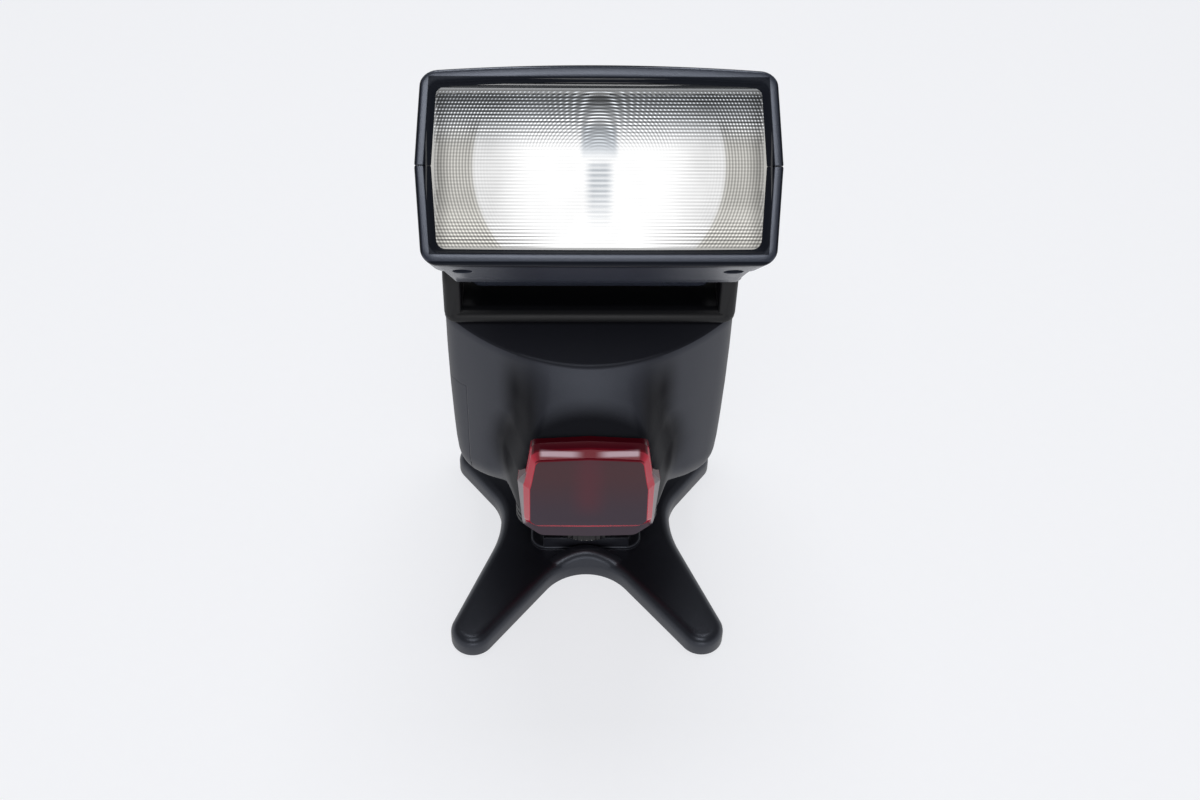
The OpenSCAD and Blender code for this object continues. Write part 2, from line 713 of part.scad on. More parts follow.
// Low coil drawn as stacked rings
module release_spring() color([0.8, 0.8, 0.82]) for (i = [0 : 1])
    translate([32.85 + 0.55 * i, pivot_y, pivot_z]) rotate([0, 90, 0])
        rotate_extrude() translate([2.7, 0]) circle(0.27, $fn = 16);

// ---------- zoom unit ----------

module guide_rods() color([0.85, 0.85, 0.87]) place_lens() both_sides()
    rod_y(-69.1, -31.8, rod_x, carriage_rod_z, 0.99);

module zoom_motor() color([0.6, 0.6, 0.62]) place_lens() difference() {
    union() {
        rod_y(motor_front, motor_front + 8.4, screw_x, screw_z, 3.9);
        block([-33.3, -69.9, screw_z - 2.6], [-32.7, motor_front + 0.1, screw_z + 2.6]);
        block([-33.3, -69.9, screw_z - 2.6], [-27.9, -69.2, screw_z + 2.6]);
    }
    rod_y(-71, motor_front + 1, screw_x, screw_z, 1.27);
}

module lead_screw() color([0.8, 0.8, 0.82]) place_lens()
    rod_y(-69.8, motor_front + 0.8, screw_x, screw_z, 1.2);

module zoom_carriage() color([0.12, 0.12, 0.13]) place_lens() difference() {
    union() {
        both_sides() block([26.2, -68.5, -8], [27.7, carriage_back, 8.2]);
        wide_block(27.7, [carriage_back - 1.8, carriage_back], [-3, 3]);
        both_sides() rod_y(-64, -54, rod_x, carriage_rod_z, 2.3);
        rod_y(-64, -58, screw_x, screw_z, 2.2);
    }
    both_sides() rod_y(-66, -50, rod_x, carriage_rod_z, 1.04);
    rod_y(-66, -50, screw_x, screw_z, 1.26);
    rod_x(-30, 30, -57, 0, 2.1);
}

// Half height of the reflector at distance d from its closed end
function dish(d) = 2.9 + 8.2 * sqrt(max(0, d) / 18);

module reflector() color([0.9, 0.9, 0.92]) place_lens() {
    slab_yz(-25.2, 25.2) polygon(concat(
        [for (i = [0 : 12]) [-54 - 18 * i / 12, dish(18 * i / 12)]],
        [for (i = [12 : -1 : 0]) [-54 - 18 * i / 12, dish(18 * i / 12) - 0.6]],
        [[-54, -2.3]],
        [for (i = [0 : 12]) [-54 - 18 * i / 12, -dish(18 * i / 12) + 0.6]],
        [for (i = [12 : -1 : 0]) [-54 - 18 * i / 12, -dish(18 * i / 12)]],
        [[-53.4, -2.9], [-53.4, 2.9]]));
    both_sides() difference() {
        slab_yz(25.15, 26.1) polygon([[-72, 11], [-54, 2.9], [-54, -2.9], [-72, -11]]);
        rod_x(25, 27, -57, 0, 2.1);
    }
}

module flash_tube() color([0.92, 0.94, 0.97, 0.6]) place_lens() union() {
    rod_x(-27.4, 27.4, -57, 0, 1.6);
    both_sides() rod_x(27.3, 28.9, -57, 0, 0.7);
}

module trigger_board() color([0.1, 0.35, 0.2]) place_head()
    block([-16, -24, 6], [16, -8, 7.2]);

module trigger_coil() color([0.55, 0.3, 0.12]) place_head() union() {
    rod_x(-6, 6, -16, 11, 3.6);
    block([-7.5, -19.5, 7.3], [7.5, -12.5, 8.2]);
}

// Wires that run from the trigger board down through the neck
module head_harness() color([0.7, 0.1, 0.1]) place_head() for (x = [-3, -1, 1, 3]) {
    rod_z(-2.5, 5.95, x, -14, 0.6);
    translate([x, 0, 0]) rod_y(-14, -2, 0, -2.5, 0.6);
}

// ---------- drawing ----------

mini_stand();
tripod_bush();
shoe_foot();
foot_contacts();
foot_housing();
lock_lever();
locking_pin();
lock_release_button();
body_front_shell();
body_rear_shell();
af_window();
af_emitter();
wireless_sensor();
lcd_window();
lcd_panel();
lcd_backlight();
control_board();
power_board();
main_capacitor();
transformer();
battery_tray();
aa_cells();
battery_contacts();
battery_cover();
battery_cover_pin();
mode_button();
sync_button();
zoom_button();
light_button();
test_button();
set_key();
up_key();
down_key();
left_key();
right_key();
power_switch();
body_screws();
swivel_bracket();
swivel_tube();
swivel_retainer();
friction_washer();
tilt_pins();
tilt_release_button();
release_spring();
head_upper_shell();
head_lower_shell();
fresnel_lens();
head_screws();
wide_panel();
zoom_motor();
lead_screw();
guide_rods();
zoom_carriage();
reflector();
flash_tube();
trigger_board();
trigger_coil();
head_harness();
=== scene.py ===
import json
import math

import bpy
import bmesh
from mathutils import Matrix, Vector


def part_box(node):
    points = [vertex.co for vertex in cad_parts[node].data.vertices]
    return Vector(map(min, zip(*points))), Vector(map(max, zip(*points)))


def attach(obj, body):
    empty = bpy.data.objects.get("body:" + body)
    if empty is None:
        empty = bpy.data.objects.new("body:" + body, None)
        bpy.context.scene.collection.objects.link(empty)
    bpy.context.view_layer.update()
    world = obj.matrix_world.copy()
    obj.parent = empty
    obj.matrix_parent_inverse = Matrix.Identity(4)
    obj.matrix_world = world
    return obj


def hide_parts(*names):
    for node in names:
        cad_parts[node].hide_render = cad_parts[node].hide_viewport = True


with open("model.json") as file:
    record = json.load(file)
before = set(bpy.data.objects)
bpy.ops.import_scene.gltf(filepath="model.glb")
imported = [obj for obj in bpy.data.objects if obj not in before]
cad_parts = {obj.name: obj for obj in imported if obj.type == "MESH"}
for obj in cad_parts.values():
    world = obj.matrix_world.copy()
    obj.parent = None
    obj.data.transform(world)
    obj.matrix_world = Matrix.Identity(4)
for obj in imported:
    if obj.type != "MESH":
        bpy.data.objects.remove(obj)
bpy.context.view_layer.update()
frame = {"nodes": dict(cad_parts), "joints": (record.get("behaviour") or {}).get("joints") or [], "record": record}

MM = 0.001
NODES = frame["nodes"]
JOINTS = {joint["name"]: joint for joint in frame["joints"]}


# ---------- places taken from the frame, in millimetres ----------

def node_box(node):
    """Lowest and highest corner of a CAD node, in millimetres."""
    low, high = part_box(node)
    return [v / MM for v in low], [v / MM for v in high]


PIVOT_Y, PIVOT_Z = [v / MM for v in JOINTS["head_tilt"]["pos_m"][1:]]
STAND_TOP = 6.0
SEAM_Y = node_box("body_front_shell")[1][1]
(_, _, BODY_BOTTOM), (_, BODY_BACK, BODY_TOP) = node_box("body_rear_shell")
WALL = 1.8

# The head is drawn level with the tilt axis at the origin, then tilted back
HEAD_MATRIX = Matrix.Translation((0, PIVOT_Y * MM, PIVOT_Z * MM)) @ Matrix.Rotation(math.radians(-45), 4, "X")
LENS_RISE = 13.0
HEAD_HW = 36.25
HEAD_HH = 19.7
HEAD_FRONT = -80.0
DRAFT = 1.3


# ---------- small geometry helpers ----------

def lerp(a, b, t):
    return a + (b - a) * t


def smooth(t):
    t = min(max(t, 0.0), 1.0)
    return t * t * (3 - 2 * t)


def spread(a, b, n):
    """n values from a to b, both included."""
    return [lerp(a, b, i / (n - 1)) for i in range(n)]


def table(x, points):
    """Straight-line reading of a short list of (x, value) points."""
    for (x0, v0), (x1, v1) in zip(points, points[1:]):
        if x <= x1:
            return lerp(v0, v1, max(0.0, (x - x0) / (x1 - x0)))
    return points[-1][1]


def arc(cx, cy, r, a0, a1, n=8):
    """Points on an arc, angles in degrees, both ends included."""
    turns = spread(math.radians(a0), math.radians(a1), n)
    return [(cx + r * math.cos(a), cy + r * math.sin(a)) for a in turns]


def circle(r, n=48):
    return [(r * math.cos(2 * math.pi * i / n), r * math.sin(2 * math.pi * i / n)) for i in range(n)]


def fillet(points, radius, n=6):
    """Closed outline with each corner rounded; radius is one number or one for each corner."""
    radii = radius if isinstance(radius, (list, tuple)) else [radius] * len(points)
    out = []
    for i, p in enumerate(points):
        p = Vector(p)
        a = (Vector(points[i - 1]) - p).normalized()
        b = (Vector(points[(i + 1) % len(points)]) - p).normalized()
        half = math.acos(max(-1.0, min(1.0, a.dot(b)))) / 2
        r = radii[i]
        if r <= 0:
            out.append(tuple(p))
            continue
        if half > math.radians(89):
            # Nearly straight: the same number of points along a short line
            out += [tuple(p + (a * (1 - k / (n - 1)) + b * (k / (n - 1))) * 0.1) for k in range(n)]
            continue
        back = r / math.tan(half)
        centre = p + (a + b).normalized() * (r / math.sin(half))
        start, end = p + a * back - centre, p + b * back - centre
        a0 = math.atan2(start.y, start.x)
        turn = (math.atan2(end.y, end.x) - a0 + math.pi) % (2 * math.pi) - math.pi
        out += [(centre.x + r * math.cos(a0 + turn * k / (n - 1)),
                 centre.y + r * math.sin(a0 + turn * k / (n - 1))) for k in range(n)]
    return out


def rectangle(w, h, r, n=6, cx=0.0, cy=0.0):
    """Rounded rectangle outline."""
    x, y = w / 2, h / 2
    return fillet([(cx - x, cy - y), (cx + x, cy - y), (cx + x, cy + y), (cx - x, cy + y)], r, n)


def inset(outline, d):
    """Outline moved in by d along its corner normals."""
    area = sum(a[0] * b[1] - b[0] * a[1] for a, b in zip(outline, outline[1:] + outline[:1]))
    side = 1 if area > 0 else -1
    out = []
    for i, p in enumerate(outline):
        a, b, p = Vector(outline[i - 1]), Vector(outline[(i + 1) % len(outline)]), Vector(p)
        n1 = (p - a).normalized()
        n2 = (b - p).normalized()
        n1 = Vector((-n1.y, n1.x)) * side
        n2 = Vector((-n2.y, n2.x)) * side
        m = (n1 + n2).normalized()
        out.append(tuple(p + m * (d / max(0.4, m.dot(n1)))))
    return out


def loft(rings, closed=False, cap="fan"):
    """Vertices and faces of a skin over rings with equal counts; cap is fan, strip or none."""
    n, m = len(rings[0]), len(rings)
    verts = [tuple(p) for ring in rings for p in ring]
    faces = []
    for i in range(m if closed else m - 1):
        a, b = i * n, ((i + 1) % m) * n
        faces += [(a + j, a + (j + 1) % n, b + (j + 1) % n, b + j) for j in range(n)]
    if closed or cap == "none":
        return verts, faces
    for base, flip in ((0, True), ((m - 1) * n, False)):
        if cap == "fan":
            face = [base + j for j in range(n)]
            faces.append(tuple(reversed(face) if flip else face))
        else:
            faces += [(base + j, base + j + 1, base + n - 2 - j, base + n - 1 - j) for j in range(n // 2 - 1)]
    return verts, faces


# Where a drawing's (u, v) and its height w go when it is swept along an axis
ALONG = {"x": lambda u, v, w: (w, u, v), "y": lambda u, v, w: (u, w, v), "z": lambda u, v, w: (u, v, w)}
# Edge roundings as (rise, how far in), both as shares of the radius
ROUND = [(0.0, 1.0), (0.13, 0.5), (0.5, 0.13), (1.0, 0.0)]
SOFT = [(0.0, 1.0), (0.05, 0.69), (0.19, 0.41), (0.41, 0.19), (0.69, 0.05), (1.0, 0.0)]


def prism(outline, lo, hi, axis="z", round_lo=0.0, round_hi=0.0, steps=ROUND):
    """Solid between two heights over an outline, with rounded edges."""
    place = ALONG[axis]
    bottom = steps if round_lo else [(0.0, 0.0)]
    top = steps[::-1] if round_hi else [(0.0, 0.0)]
    levels = [(lo + rise * round_lo, move * round_lo) for rise, move in bottom]
    levels += [(hi - rise * round_hi, move * round_hi) for rise, move in top]
    return loft([[place(u, v, w) for u, v in (inset(outline, d) if d else outline)] for w, d in levels])


def lathe(profile, n=48, axis="z", centre=(0.0, 0.0, 0.0), closed=False):
    """Solid turned from (radius, height) points; closed when the profile is a loop."""
    place = ALONG[axis]
    return loft([[tuple(c + d for c, d in zip(centre, place(x, y, h))) for x, y in circle(max(r, 0.001), n)]
                 for r, h in profile], closed=closed)


def rod(r, lo, hi, n=48, axis="z", centre=(0.0, 0.0, 0.0)):
    return lathe([(0, lo), (r, lo), (r, hi), (0, hi)], n, axis, centre)


def box(lo, hi):
    return prism([(lo[0], lo[1]), (hi[0], lo[1]), (hi[0], hi[1]), (lo[0], hi[1])], lo[2], hi[2])


def join(*solids):
    """Several vertex and face lists as one."""
    verts, faces = [], []
    for v, f in solids:
        base = len(verts)
        verts += v
        faces += [tuple(i + base for i in face) for face in f]
    return verts, faces


def mirrored(solid):
    """The same solid on the other side of x = 0."""
    verts, faces = solid
    return [(-x, y, z) for x, y, z in verts], [tuple(reversed(f)) for f in faces]


# ---------- Blender objects ----------

def new_object(name, solid, matrix=None):
    verts, faces = solid
    mesh = bpy.data.meshes.new(name)
    mesh.from_pydata([Vector(v) * MM for v in verts], [], faces)
    work = bmesh.new()
    work.from_mesh(mesh)
    bmesh.ops.remove_doubles(work, verts=work.verts, dist=1e-7)
    bmesh.ops.recalc_face_normals(work, faces=work.faces)
    work.to_mesh(mesh)
    work.free()
    obj = bpy.data.objects.new(name, mesh)
    bpy.context.scene.collection.objects.link(obj)
    if matrix is not None:
        obj.matrix_world = matrix
    bpy.context.view_layer.update()
    return obj


def apply_modifiers(obj):
    bpy.context.view_layer.update()
    graph = bpy.context.evaluated_depsgraph_get()
    mesh = bpy.data.meshes.new_from_object(obj.evaluated_get(graph))
    obj.modifiers.clear()
    obj.data = mesh


def carve(obj, solid, operation="DIFFERENCE"):
    """Exact boolean with a solid drawn in the object's own frame."""
    tool = new_object("tool", solid, obj.matrix_world)
    modifier = obj.modifiers.new("carve", "BOOLEAN")
    modifier.operation = operation
    modifier.solver = "EXACT"
    modifier.object = tool
    apply_modifiers(obj)
    bpy.data.objects.remove(tool)


def dress(obj, material, body, stands_for=(), sharp=35):
    """Shading, material, body and the CAD nodes that the piece stands for."""
    mesh = obj.data
    mesh.materials.clear()
    mesh.materials.append(material)
    mesh.polygons.foreach_set("use_smooth", [True] * len(mesh.polygons))
    mesh.set_sharp_from_angle(angle=math.radians(sharp))
    if stands_for:
        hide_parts(*stands_for)
    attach(obj, body)
    return obj


def make(name, solid, material, body, stands_for=(), matrix=None, sharp=35):
    return dress(new_object(name, solid, matrix), material, body, stands_for, sharp)


# ---------- materials ----------

class Value:
    """An output of a node tree that can stand in a sum or a product."""

    def __init__(self, nodes, socket):
        self.nodes = nodes
        self.socket = socket

    def __mul__(self, other):
        return self.nodes.math("MULTIPLY", self, other)

    def __add__(self, other):
        return self.nodes.math("ADD", self, other)

    def __sub__(self, other):
        return self.nodes.math("SUBTRACT", self, other)

    def __rsub__(self, other):
        return self.nodes.math("SUBTRACT", other, self)

    __rmul__ = __mul__
    __radd__ = __add__

    def clamped(self):
        """The same value, kept between 0 and 1."""
        self.socket.node.use_clamp = True
        return self


class Nodes:
    """Short way to write a node tree."""

    def __init__(self, name):
        self.material = bpy.data.materials.new(name)
        self.material.use_nodes = True
        self.tree = self.material.node_tree
        self.shader = self.tree.nodes["Principled BSDF"]
        self.coords = self.output(self.add("TexCoord"), "Object")

    def feed(self, socket, value):
        """Links a socket to a value, or gives it a number or a colour."""
        if isinstance(value, Value):
            self.tree.links.new(value.socket, socket)
        elif isinstance(value, (tuple, list)) and socket.type == "RGBA":
            socket.default_value = tuple(value)[:3] + (1.0,)
        else:
            socket.default_value = value

    def add(self, kind, *values, operation=None, **named):
        """New node with its first inputs, and any others by name."""
        node = self.tree.nodes.new("ShaderNode" + kind)
        if operation:
            node.operation = operation
        for i, value in enumerate(values):
            self.feed(node.inputs[i], value)
        for key, value in named.items():
            self.feed(node.inputs[key.replace("_", " ")], value)
        return node

    def output(self, node, key=0):
        return Value(self, node.outputs[key])

    def math(self, operation, *values):
        """An operation on one value, on two, or on more of them in turn."""
        result = self.output(self.add("Math", *values[:2], operation=operation))
        return self.math(operation, result, *values[2:]) if values[2:] else result

    def most(self, *values):
        return self.math("MAXIMUM", *values)

    def size(self, value):
        return self.math("ABSOLUTE", value)

    def mix(self, factor, a, b):
        node = self.tree.nodes.new("ShaderNodeMix")
        node.data_type = "RGBA"
        for i, value in ((0, factor), (6, a), (7, b)):
            self.feed(node.inputs[i], value)
        return self.output(node, 2)

    def vector(self, operation, *values, output=0, **named):
        return self.output(self.add("VectorMath", *values, operation=operation, **named), output)

    def noise(self, scale, detail=3.0, rough=0.55, stretch=None):
        place = self.vector("MULTIPLY", self.coords, stretch) if stretch else self.coords
        node = self.add("TexNoise", Scale=scale, Detail=detail, Roughness=rough, Vector=place)
        return self.output(node, "Fac")

    def normal(self):
        return self.output(self.add("NewGeometry"), "Normal")

    def split(self, vector):
        node = self.add("SeparateXYZ", vector)
        return [self.output(node, axis) for axis in "XYZ"]

    def place(self):
        """Values of x, y and z in the piece's own frame, in millimetres."""
        return [value * (1 / MM) for value in self.split(self.coords)]

    def step(self, value, start, end):
        """Smooth change from 0 at start to 1 at end."""
        node = self.add("MapRange", Value=value, From_Min=start, From_Max=end)
        node.interpolation_type = "SMOOTHSTEP"
        return self.output(node, "Result")

    def set(self, **values):
        for key, value in values.items():
            self.feed(self.shader.inputs[key.replace("_", " ")], value)


def between(share, a, b):
    return (1.0 - share) * a + share * b


def moulded(name, colour, rough=0.45, grain=0.35, grain_size=0.35, vary=0.12, metal=0.0, edge=0.25,
            wear=0.25, spec=0.5, tint=(1.0, 1.0, 1.0), hollow=None):
    """Moulded plastic, painted or plain metal: fine grain, mottled gloss, rounded and worn edges, and painted
    shade where a hollow mask is given.
    """
    t = Nodes(name)
    fine = t.noise(1 / (grain_size * MM), 2.0)
    broad = t.noise(1 / (14 * MM), 4.0)
    smudge = t.noise(1 / (45 * MM), 3.0)
    bevel = t.add("Bevel", Radius=edge * MM)
    bevel.samples = 6
    rounded = t.output(bevel)
    bump = t.add("Bump", Strength=grain, Distance=0.05 * MM, Height=fine, Normal=rounded)
    # Edges are where the rounded normal leaves the true one
    agree = t.vector("DOT_PRODUCT", rounded, t.normal(), output="Value")
    rubbed = ((1.0 - agree) * (6.0 * wear)).clamped()
    rubbed = (rubbed * (broad * 1.4)).clamped()
    dark = [c * (1 - vary) for c in colour]
    light = [min(1.0, c * (1 + vary)) for c in colour]
    base = t.mix(broad, dark, light)
    base = t.mix(rubbed, base, [min(1.0, c * 1.8 + 0.02) for c in colour])
    gloss = (rough - 0.06 + smudge * 0.14 - rubbed * 0.1).clamped()
    if metal == 0:
        # Less mirror-like at the outline than a perfectly clean surface
        grazing = t.output(t.add("LayerWeight", Blend=0.5), "Facing")
        spec = (1.0 - t.step(grazing, 0.45, 0.92) * 0.8) * spec
    # Painted shade: where the hollow mask is 1, the colour is darker and the surface reflects less
    if hollow:
        unshaded_share = 1.0 - hollow(t)
        spec = unshaded_share * spec
        base = t.mix(unshaded_share, [c * 0.3 for c in colour], base)
    t.set(Base_Color=base, Roughness=gloss, Metallic=metal, Specular_IOR_Level=spec, Specular_Tint=tint,
          Normal=t.output(bump))
    return t.material


def nose_painted_shade(t):
    """Painted shade round the window, down the two sides of the nose and on the top slope under the head, as a
    share from 0 to 1.
    """
    x, y, z = t.place()
    ax = t.size(x)
    across = ax * (1 / 17.5)
    up = (z - 45.0) * (1 / 16.5)
    reach = t.math("SQRT", across * across + up * up)
    # Painted shade round the window and down the valleys beside the nose
    window_shade = t.step(reach, 1.58, 1.22)
    valley = t.step(t.size(ax - 16.6), 7.0, 1.5) * t.step(z, 84.0, 66.0)
    front = t.step(y, -3.0, -7.0)
    # Painted shadow of the head on the top slope, which faces up
    slope = t.step(t.split(t.normal())[2], 0.45, 0.65) * 0.4
    return t.most(t.most(window_shade, valley) * front * 0.9, slope)


def bezel_painted_shade(t):
    """Painted shade: dark lines along the outer and the inner edge of the head's front face, standing in for steep
    edges that reflect dark, as a share from 0 to 1.
    """
    x, y, z = t.place()
    up = t.size(z - LENS_RISE)
    draft = up * (DRAFT / HEAD_HH)
    from_side = HEAD_HW - draft - t.size(x)
    from_end = HEAD_HH - up
    outer = t.step(t.math("MINIMUM", from_side, from_end), 0.62, 0.38)
    under = t.step(from_end, 1.15, 0.85) * t.step(z, LENS_RISE, LENS_RISE - 5)
    inner = t.math("MINIMUM", t.step(from_side, 1.66, 1.86), t.step(from_end, 2.2, 2.45))
    near = t.step(y, HEAD_FRONT + 1.5, HEAD_FRONT + 0.9)
    rim = t.step(y, HEAD_FRONT + 3.4, HEAD_FRONT + 2.2)
    return t.most(outer * rim, t.most(under, inner) * near) * 0.88


def plastic_window(name):
    """Red window over the autofocus lamp: dark face with a painted glow in its middle, red bevels, pale lower
    flange; the light and shade on the bevels and the flange are painted.
    """
    t = Nodes(name)
    _, normal_y, normal_z = t.split(t.normal())
    x, y, z = t.place()
    facing = normal_y * -1.0
    bevel = t.step(facing, 0.99, 0.95)
    glow = t.step(t.size(x), 6.0, 0.0) * t.step(z, 34.0, 44.0)
    face = t.mix(t.step(z, 36.0, 54.0), (0.036, 0.018, 0.032), (0.058, 0.014, 0.019))
    face = t.mix(glow * 0.6, face, (0.10, 0.010, 0.022))
    face = t.mix(t.noise(1 / (5 * MM), 3.0) * 0.2, face, (0.03, 0.02, 0.03))
    # Painted light and shade on the bevels: bright red where they face sideways, dark red where they face up
    red = t.mix(t.step(normal_z, 0.3, 0.55), (0.42, 0.008, 0.03), (0.08, 0.002, 0.008))
    behind = t.step(y, -23.25, -22.95)
    # Painted reflection of the pale surroundings on the flange's front, darker at its bottom
    flange = behind * t.step(z, 50.4, 49.2) * t.step(facing, 0.25, 0.5)
    pale = t.mix(t.step(z, 32.0, 30.5), (0.22, 0.19, 0.20), (0.055, 0.045, 0.065))
    red = t.mix(flange, red, pale)
    # Two pale streaks where the overhead light meets the upper bevel
    ax = t.size(x)
    streak = t.step(z, 58.3, 58.9) * t.step(z, 60.1, 59.6) * t.step(ax, 1.0, 5.0) * t.step(ax, 12.6, 11.6)
    red = t.mix(streak * 0.8, red, (0.62, 0.50, 0.56))
    # Faint painted red glow, given off as emission by the bevels
    lit = bevel * (1.0 - behind)
    t.set(Base_Color=t.mix(bevel, face, red), Roughness=0.12, Specular_IOR_Level=0.3,
          Emission_Color=(0.8, 0.01, 0.04), Emission_Strength=lit * 0.05)
    return t.material


def clear_plastic(name, tint=(0.9, 0.93, 0.95), alpha=0.3, dark_edge=None):
    """Thin clear cover, mostly see-through; its edge at y = dark_edge can be painted dark as shade."""
    t = Nodes(name)
    scratches = t.noise(1 / (2 * MM), 5.0)
    if dark_edge is not None:
        # Painted shade: the front edge turns opaque and nearly black
        edge = t.step(t.place()[1], dark_edge + 1.4, dark_edge + 0.9)
        tint = t.mix(edge, tint, (0.012, 0.014, 0.018))
        alpha = between(edge, alpha, 1.0)
    t.set(Base_Color=tint, Roughness=scratches * 0.12, Alpha=alpha, IOR=1.49)
    return t.material


COOL = (0.80, 0.86, 1.0)
BODY_LOOK = {"colour": (0.014, 0.0140, 0.019), "rough": 0.36, "grain": 0.30, "spec": 0.50, "tint": COOL}
HEAD_LOOK = {"colour": (0.021, 0.0245, 0.036), "rough": 0.26, "grain": 0.16, "spec": 0.62, "tint": COOL}
BODY_BLACK = moulded("body_satin_black", **BODY_LOOK)
# Body front: the same black, with painted shade round the nose and the window and under the head
NOSE_BLACK = moulded("front_satin_black", **BODY_LOOK, hollow=nose_painted_shade)
HEAD_BLACK = moulded("head_satin_black", **HEAD_LOOK)
# Head front: the same black, with painted dark lines of shade along the bezel's edges
BEZEL_BLACK = moulded("head_front_satin_black", **HEAD_LOOK, hollow=bezel_painted_shade)
GASKET_GREY = moulded("gasket_grey", (0.055, 0.056, 0.060), rough=0.35, grain=0.2, spec=0.5)
STAND_BLACK = moulded("stand_satin_black", (0.007, 0.007, 0.010), rough=0.32, grain=0.25, spec=0.66,
                      tint=COOL)
PART_BLACK = moulded("plain_black", (0.005, 0.005, 0.006), rough=0.34, grain=0.3, spec=0.26)
GLOSS_BLACK = moulded("gloss_black", (0.006, 0.006, 0.007), rough=0.16, grain=0.03)
KEY_RUBBER = moulded("key_rubber", (0.028, 0.029, 0.033), rough=0.62, grain=0.5, grain_size=0.2)
KEY_GREY = moulded("key_grey", (0.075, 0.076, 0.082), rough=0.5, grain=0.3)
LAMP_RED = moulded("test_key_amber", (0.35, 0.05, 0.03), rough=0.25, grain=0.05)
STEEL = moulded("turned_steel", (0.55, 0.55, 0.57), rough=0.28, grain=0.15, metal=1.0, wear=0.1)
FOOT_METAL = moulded("plated_foot", (0.62, 0.61, 0.60), rough=0.3, grain=0.2, metal=1.0, wear=0.15)
GOLD = moulded("contact_gold", (0.85, 0.62, 0.25), rough=0.22, grain=0.1, metal=1.0, wear=0.1)
BRASS = moulded("bush_brass", (0.70, 0.50, 0.20), rough=0.3, grain=0.2, metal=1.0)
SCREW_BLACK = moulded("screw_black", (0.012, 0.012, 0.014), rough=0.35, grain=0.15, metal=0.6)
WINDOW_RED = plastic_window("window_red")
CLEAR = clear_plastic("clear_cover")


# ---------- head ----------

CORNER_R = 3.5
CROWN = 1.2
NECK_HW = 29.0
ARM_CLEAR = 12.6
SLOPE_START = -22.0
REAR_FACE = 1.0
SEAM_GAP = 0.09


def head_top(y):
    """Height of the head's top above the lens axis."""
    drop = max(0.0, y - SLOPE_START)
    return HEAD_HH - 6.7 * drop / (REAR_FACE - SLOPE_START) * smooth(drop / 6)


def head_under(y):
    """Depth of the head's underside below the lens axis."""
    back = max(0.0, min(y, -12.0) + 60)
    return HEAD_HH - 10.7 * smooth(back / 10) * back / 48


def belly(y):
    """How far the belly stands out below the underside."""
    return table(y, [(-78, 0.0), (-76.6, 0.15), (-60.4, 2.2), (-59.4, 2.0), (-57.4, 0.0), (0, 0.0)])


# How deep a point of the front face lies above and below the lens, for its depth at the sides
FACE_DEPTH = [(0, 0), (0.42, 0.42), (0.7, 0.75), (1.2, 1.6), (1.7, 2.35), (1.95, 2.55), (2.2, 2.7),
              (2.5, 2.85), (3.3, 3.3), (9.0, 9.0)]


def half_section(h, t, swell=0.0, crown=0.2):
    """Half of the head's section as (x, height), from the right seam over the far side to the left seam."""
    r = max(CORNER_R - t, 1.9)
    top = h - table(t, FACE_DEPTH)
    width = lambda z: HEAD_HW - DRAFT * z / HEAD_HH - t
    cz = top - r
    cx = width(cz) - r
    right = [(width(z), z) for z in (0.0, 0.3)] + [(width(z), z) for z in spread(1.2, cz, 8)]
    right += arc(cx, cz, r, 0, 90, 9)[1:]
    points = right + [(x, top) for x in spread(cx, -cx, 25)[1:-1]] + [(-x, z) for x, z in reversed(right)]
    out = []
    for x, z in points:
        rise = max(0.0, z / top) ** 3
        z -= crown * (x / 34) ** 2 * rise
        z += swell * (1 - smooth((abs(x) - 29.3) / 2.4)) * rise
        out.append((x, z))
    return out


FRONT_EDGE = [(0.9, 0.0), (0.45, 0.06), (0.18, 0.2), (0.05, 0.42), (0.0, 0.7), (0.0, 1.2), (0.0, 1.7),
              (0.06, 1.95), (0.3, 2.2), (0.6, 2.5), (1.0, 3.3), (2.4, 3.3), (2.5, 3.2), (2.5, 2.0)]


def shell_rows(upper):
    """The wall's closed profile as (how y is found, y or share, depth), from rear outside to rear inside."""
    bends = [-22, -60] if upper else [-57.4, -59.4, -60.4, -64, -67, -69.6, -72.2, -74.6, -76.6, -78]
    rows = [("end", 0.0, 1.2), ("end", 0.15, 0.6), ("end", 0.5, 0.15), ("end", 1.2, 0.0)]
    rows += [("share", s, 0.0) for s in spread(0.92, 0.0, 9)]
    rows += [("fixed", y, 0.0) for y in bends[1:] if y > HEAD_FRONT + 1.5]
    rows += [("fixed", HEAD_FRONT + a, t) for a, t in FRONT_EDGE]
    rows += [("fixed", y, WALL) for y in reversed(bends[1:]) if y > HEAD_FRONT + 3]
    rows += [("share", s, WALL) for s in spread(0.0, 0.92, 9)]
    rows += [("end", WALL, WALL), ("end", WALL, 7.4), ("end", 1.5, 7.5), ("end", 0.1, 7.5), ("end", 0.0, 7.3)]
    return rows, bends[0]


def head_shell(upper):
    """One moulded half of the head, swept along half of its section."""
    rows, start = shell_rows(upper)
    height = head_top if upper else head_under
    count = len(half_section(HEAD_HH, 0))
    crown = CROWN if upper else 0.2

    def at(kind, value, t, j):
        """Point j of the section where a row crosses it."""
        y = value if kind == "fixed" else start
        for _ in range(4):
            x, z = half_section(height(y), t, 0.0 if upper else belly(y), crown)[j]
            if kind == "fixed":
                break
            end = REAR_FACE
            if not upper:
                rel = LENS_RISE - z
                hollow = math.sqrt(max(0.0, ARM_CLEAR ** 2 - rel * rel))
                end = min(REAR_FACE, smooth((rel - 11) / 2) - hollow)
            y = end - value if kind == "end" else lerp(start, end - 1.2, value)
        # Small chamfer and gap along the seam
        if j in (0, count - 1):
            z = SEAM_GAP
            if t < 0.2:
                x -= math.copysign(0.2 - t, x)
        return x, y, LENS_RISE + (z if upper else -z)

    return loft([[at(*row, j) for row in rows] for j in range(count)])


SCREW_SPOT = (27.2, -72.2)
SCREW_SEAT = LENS_RISE - HEAD_HH + 3.4


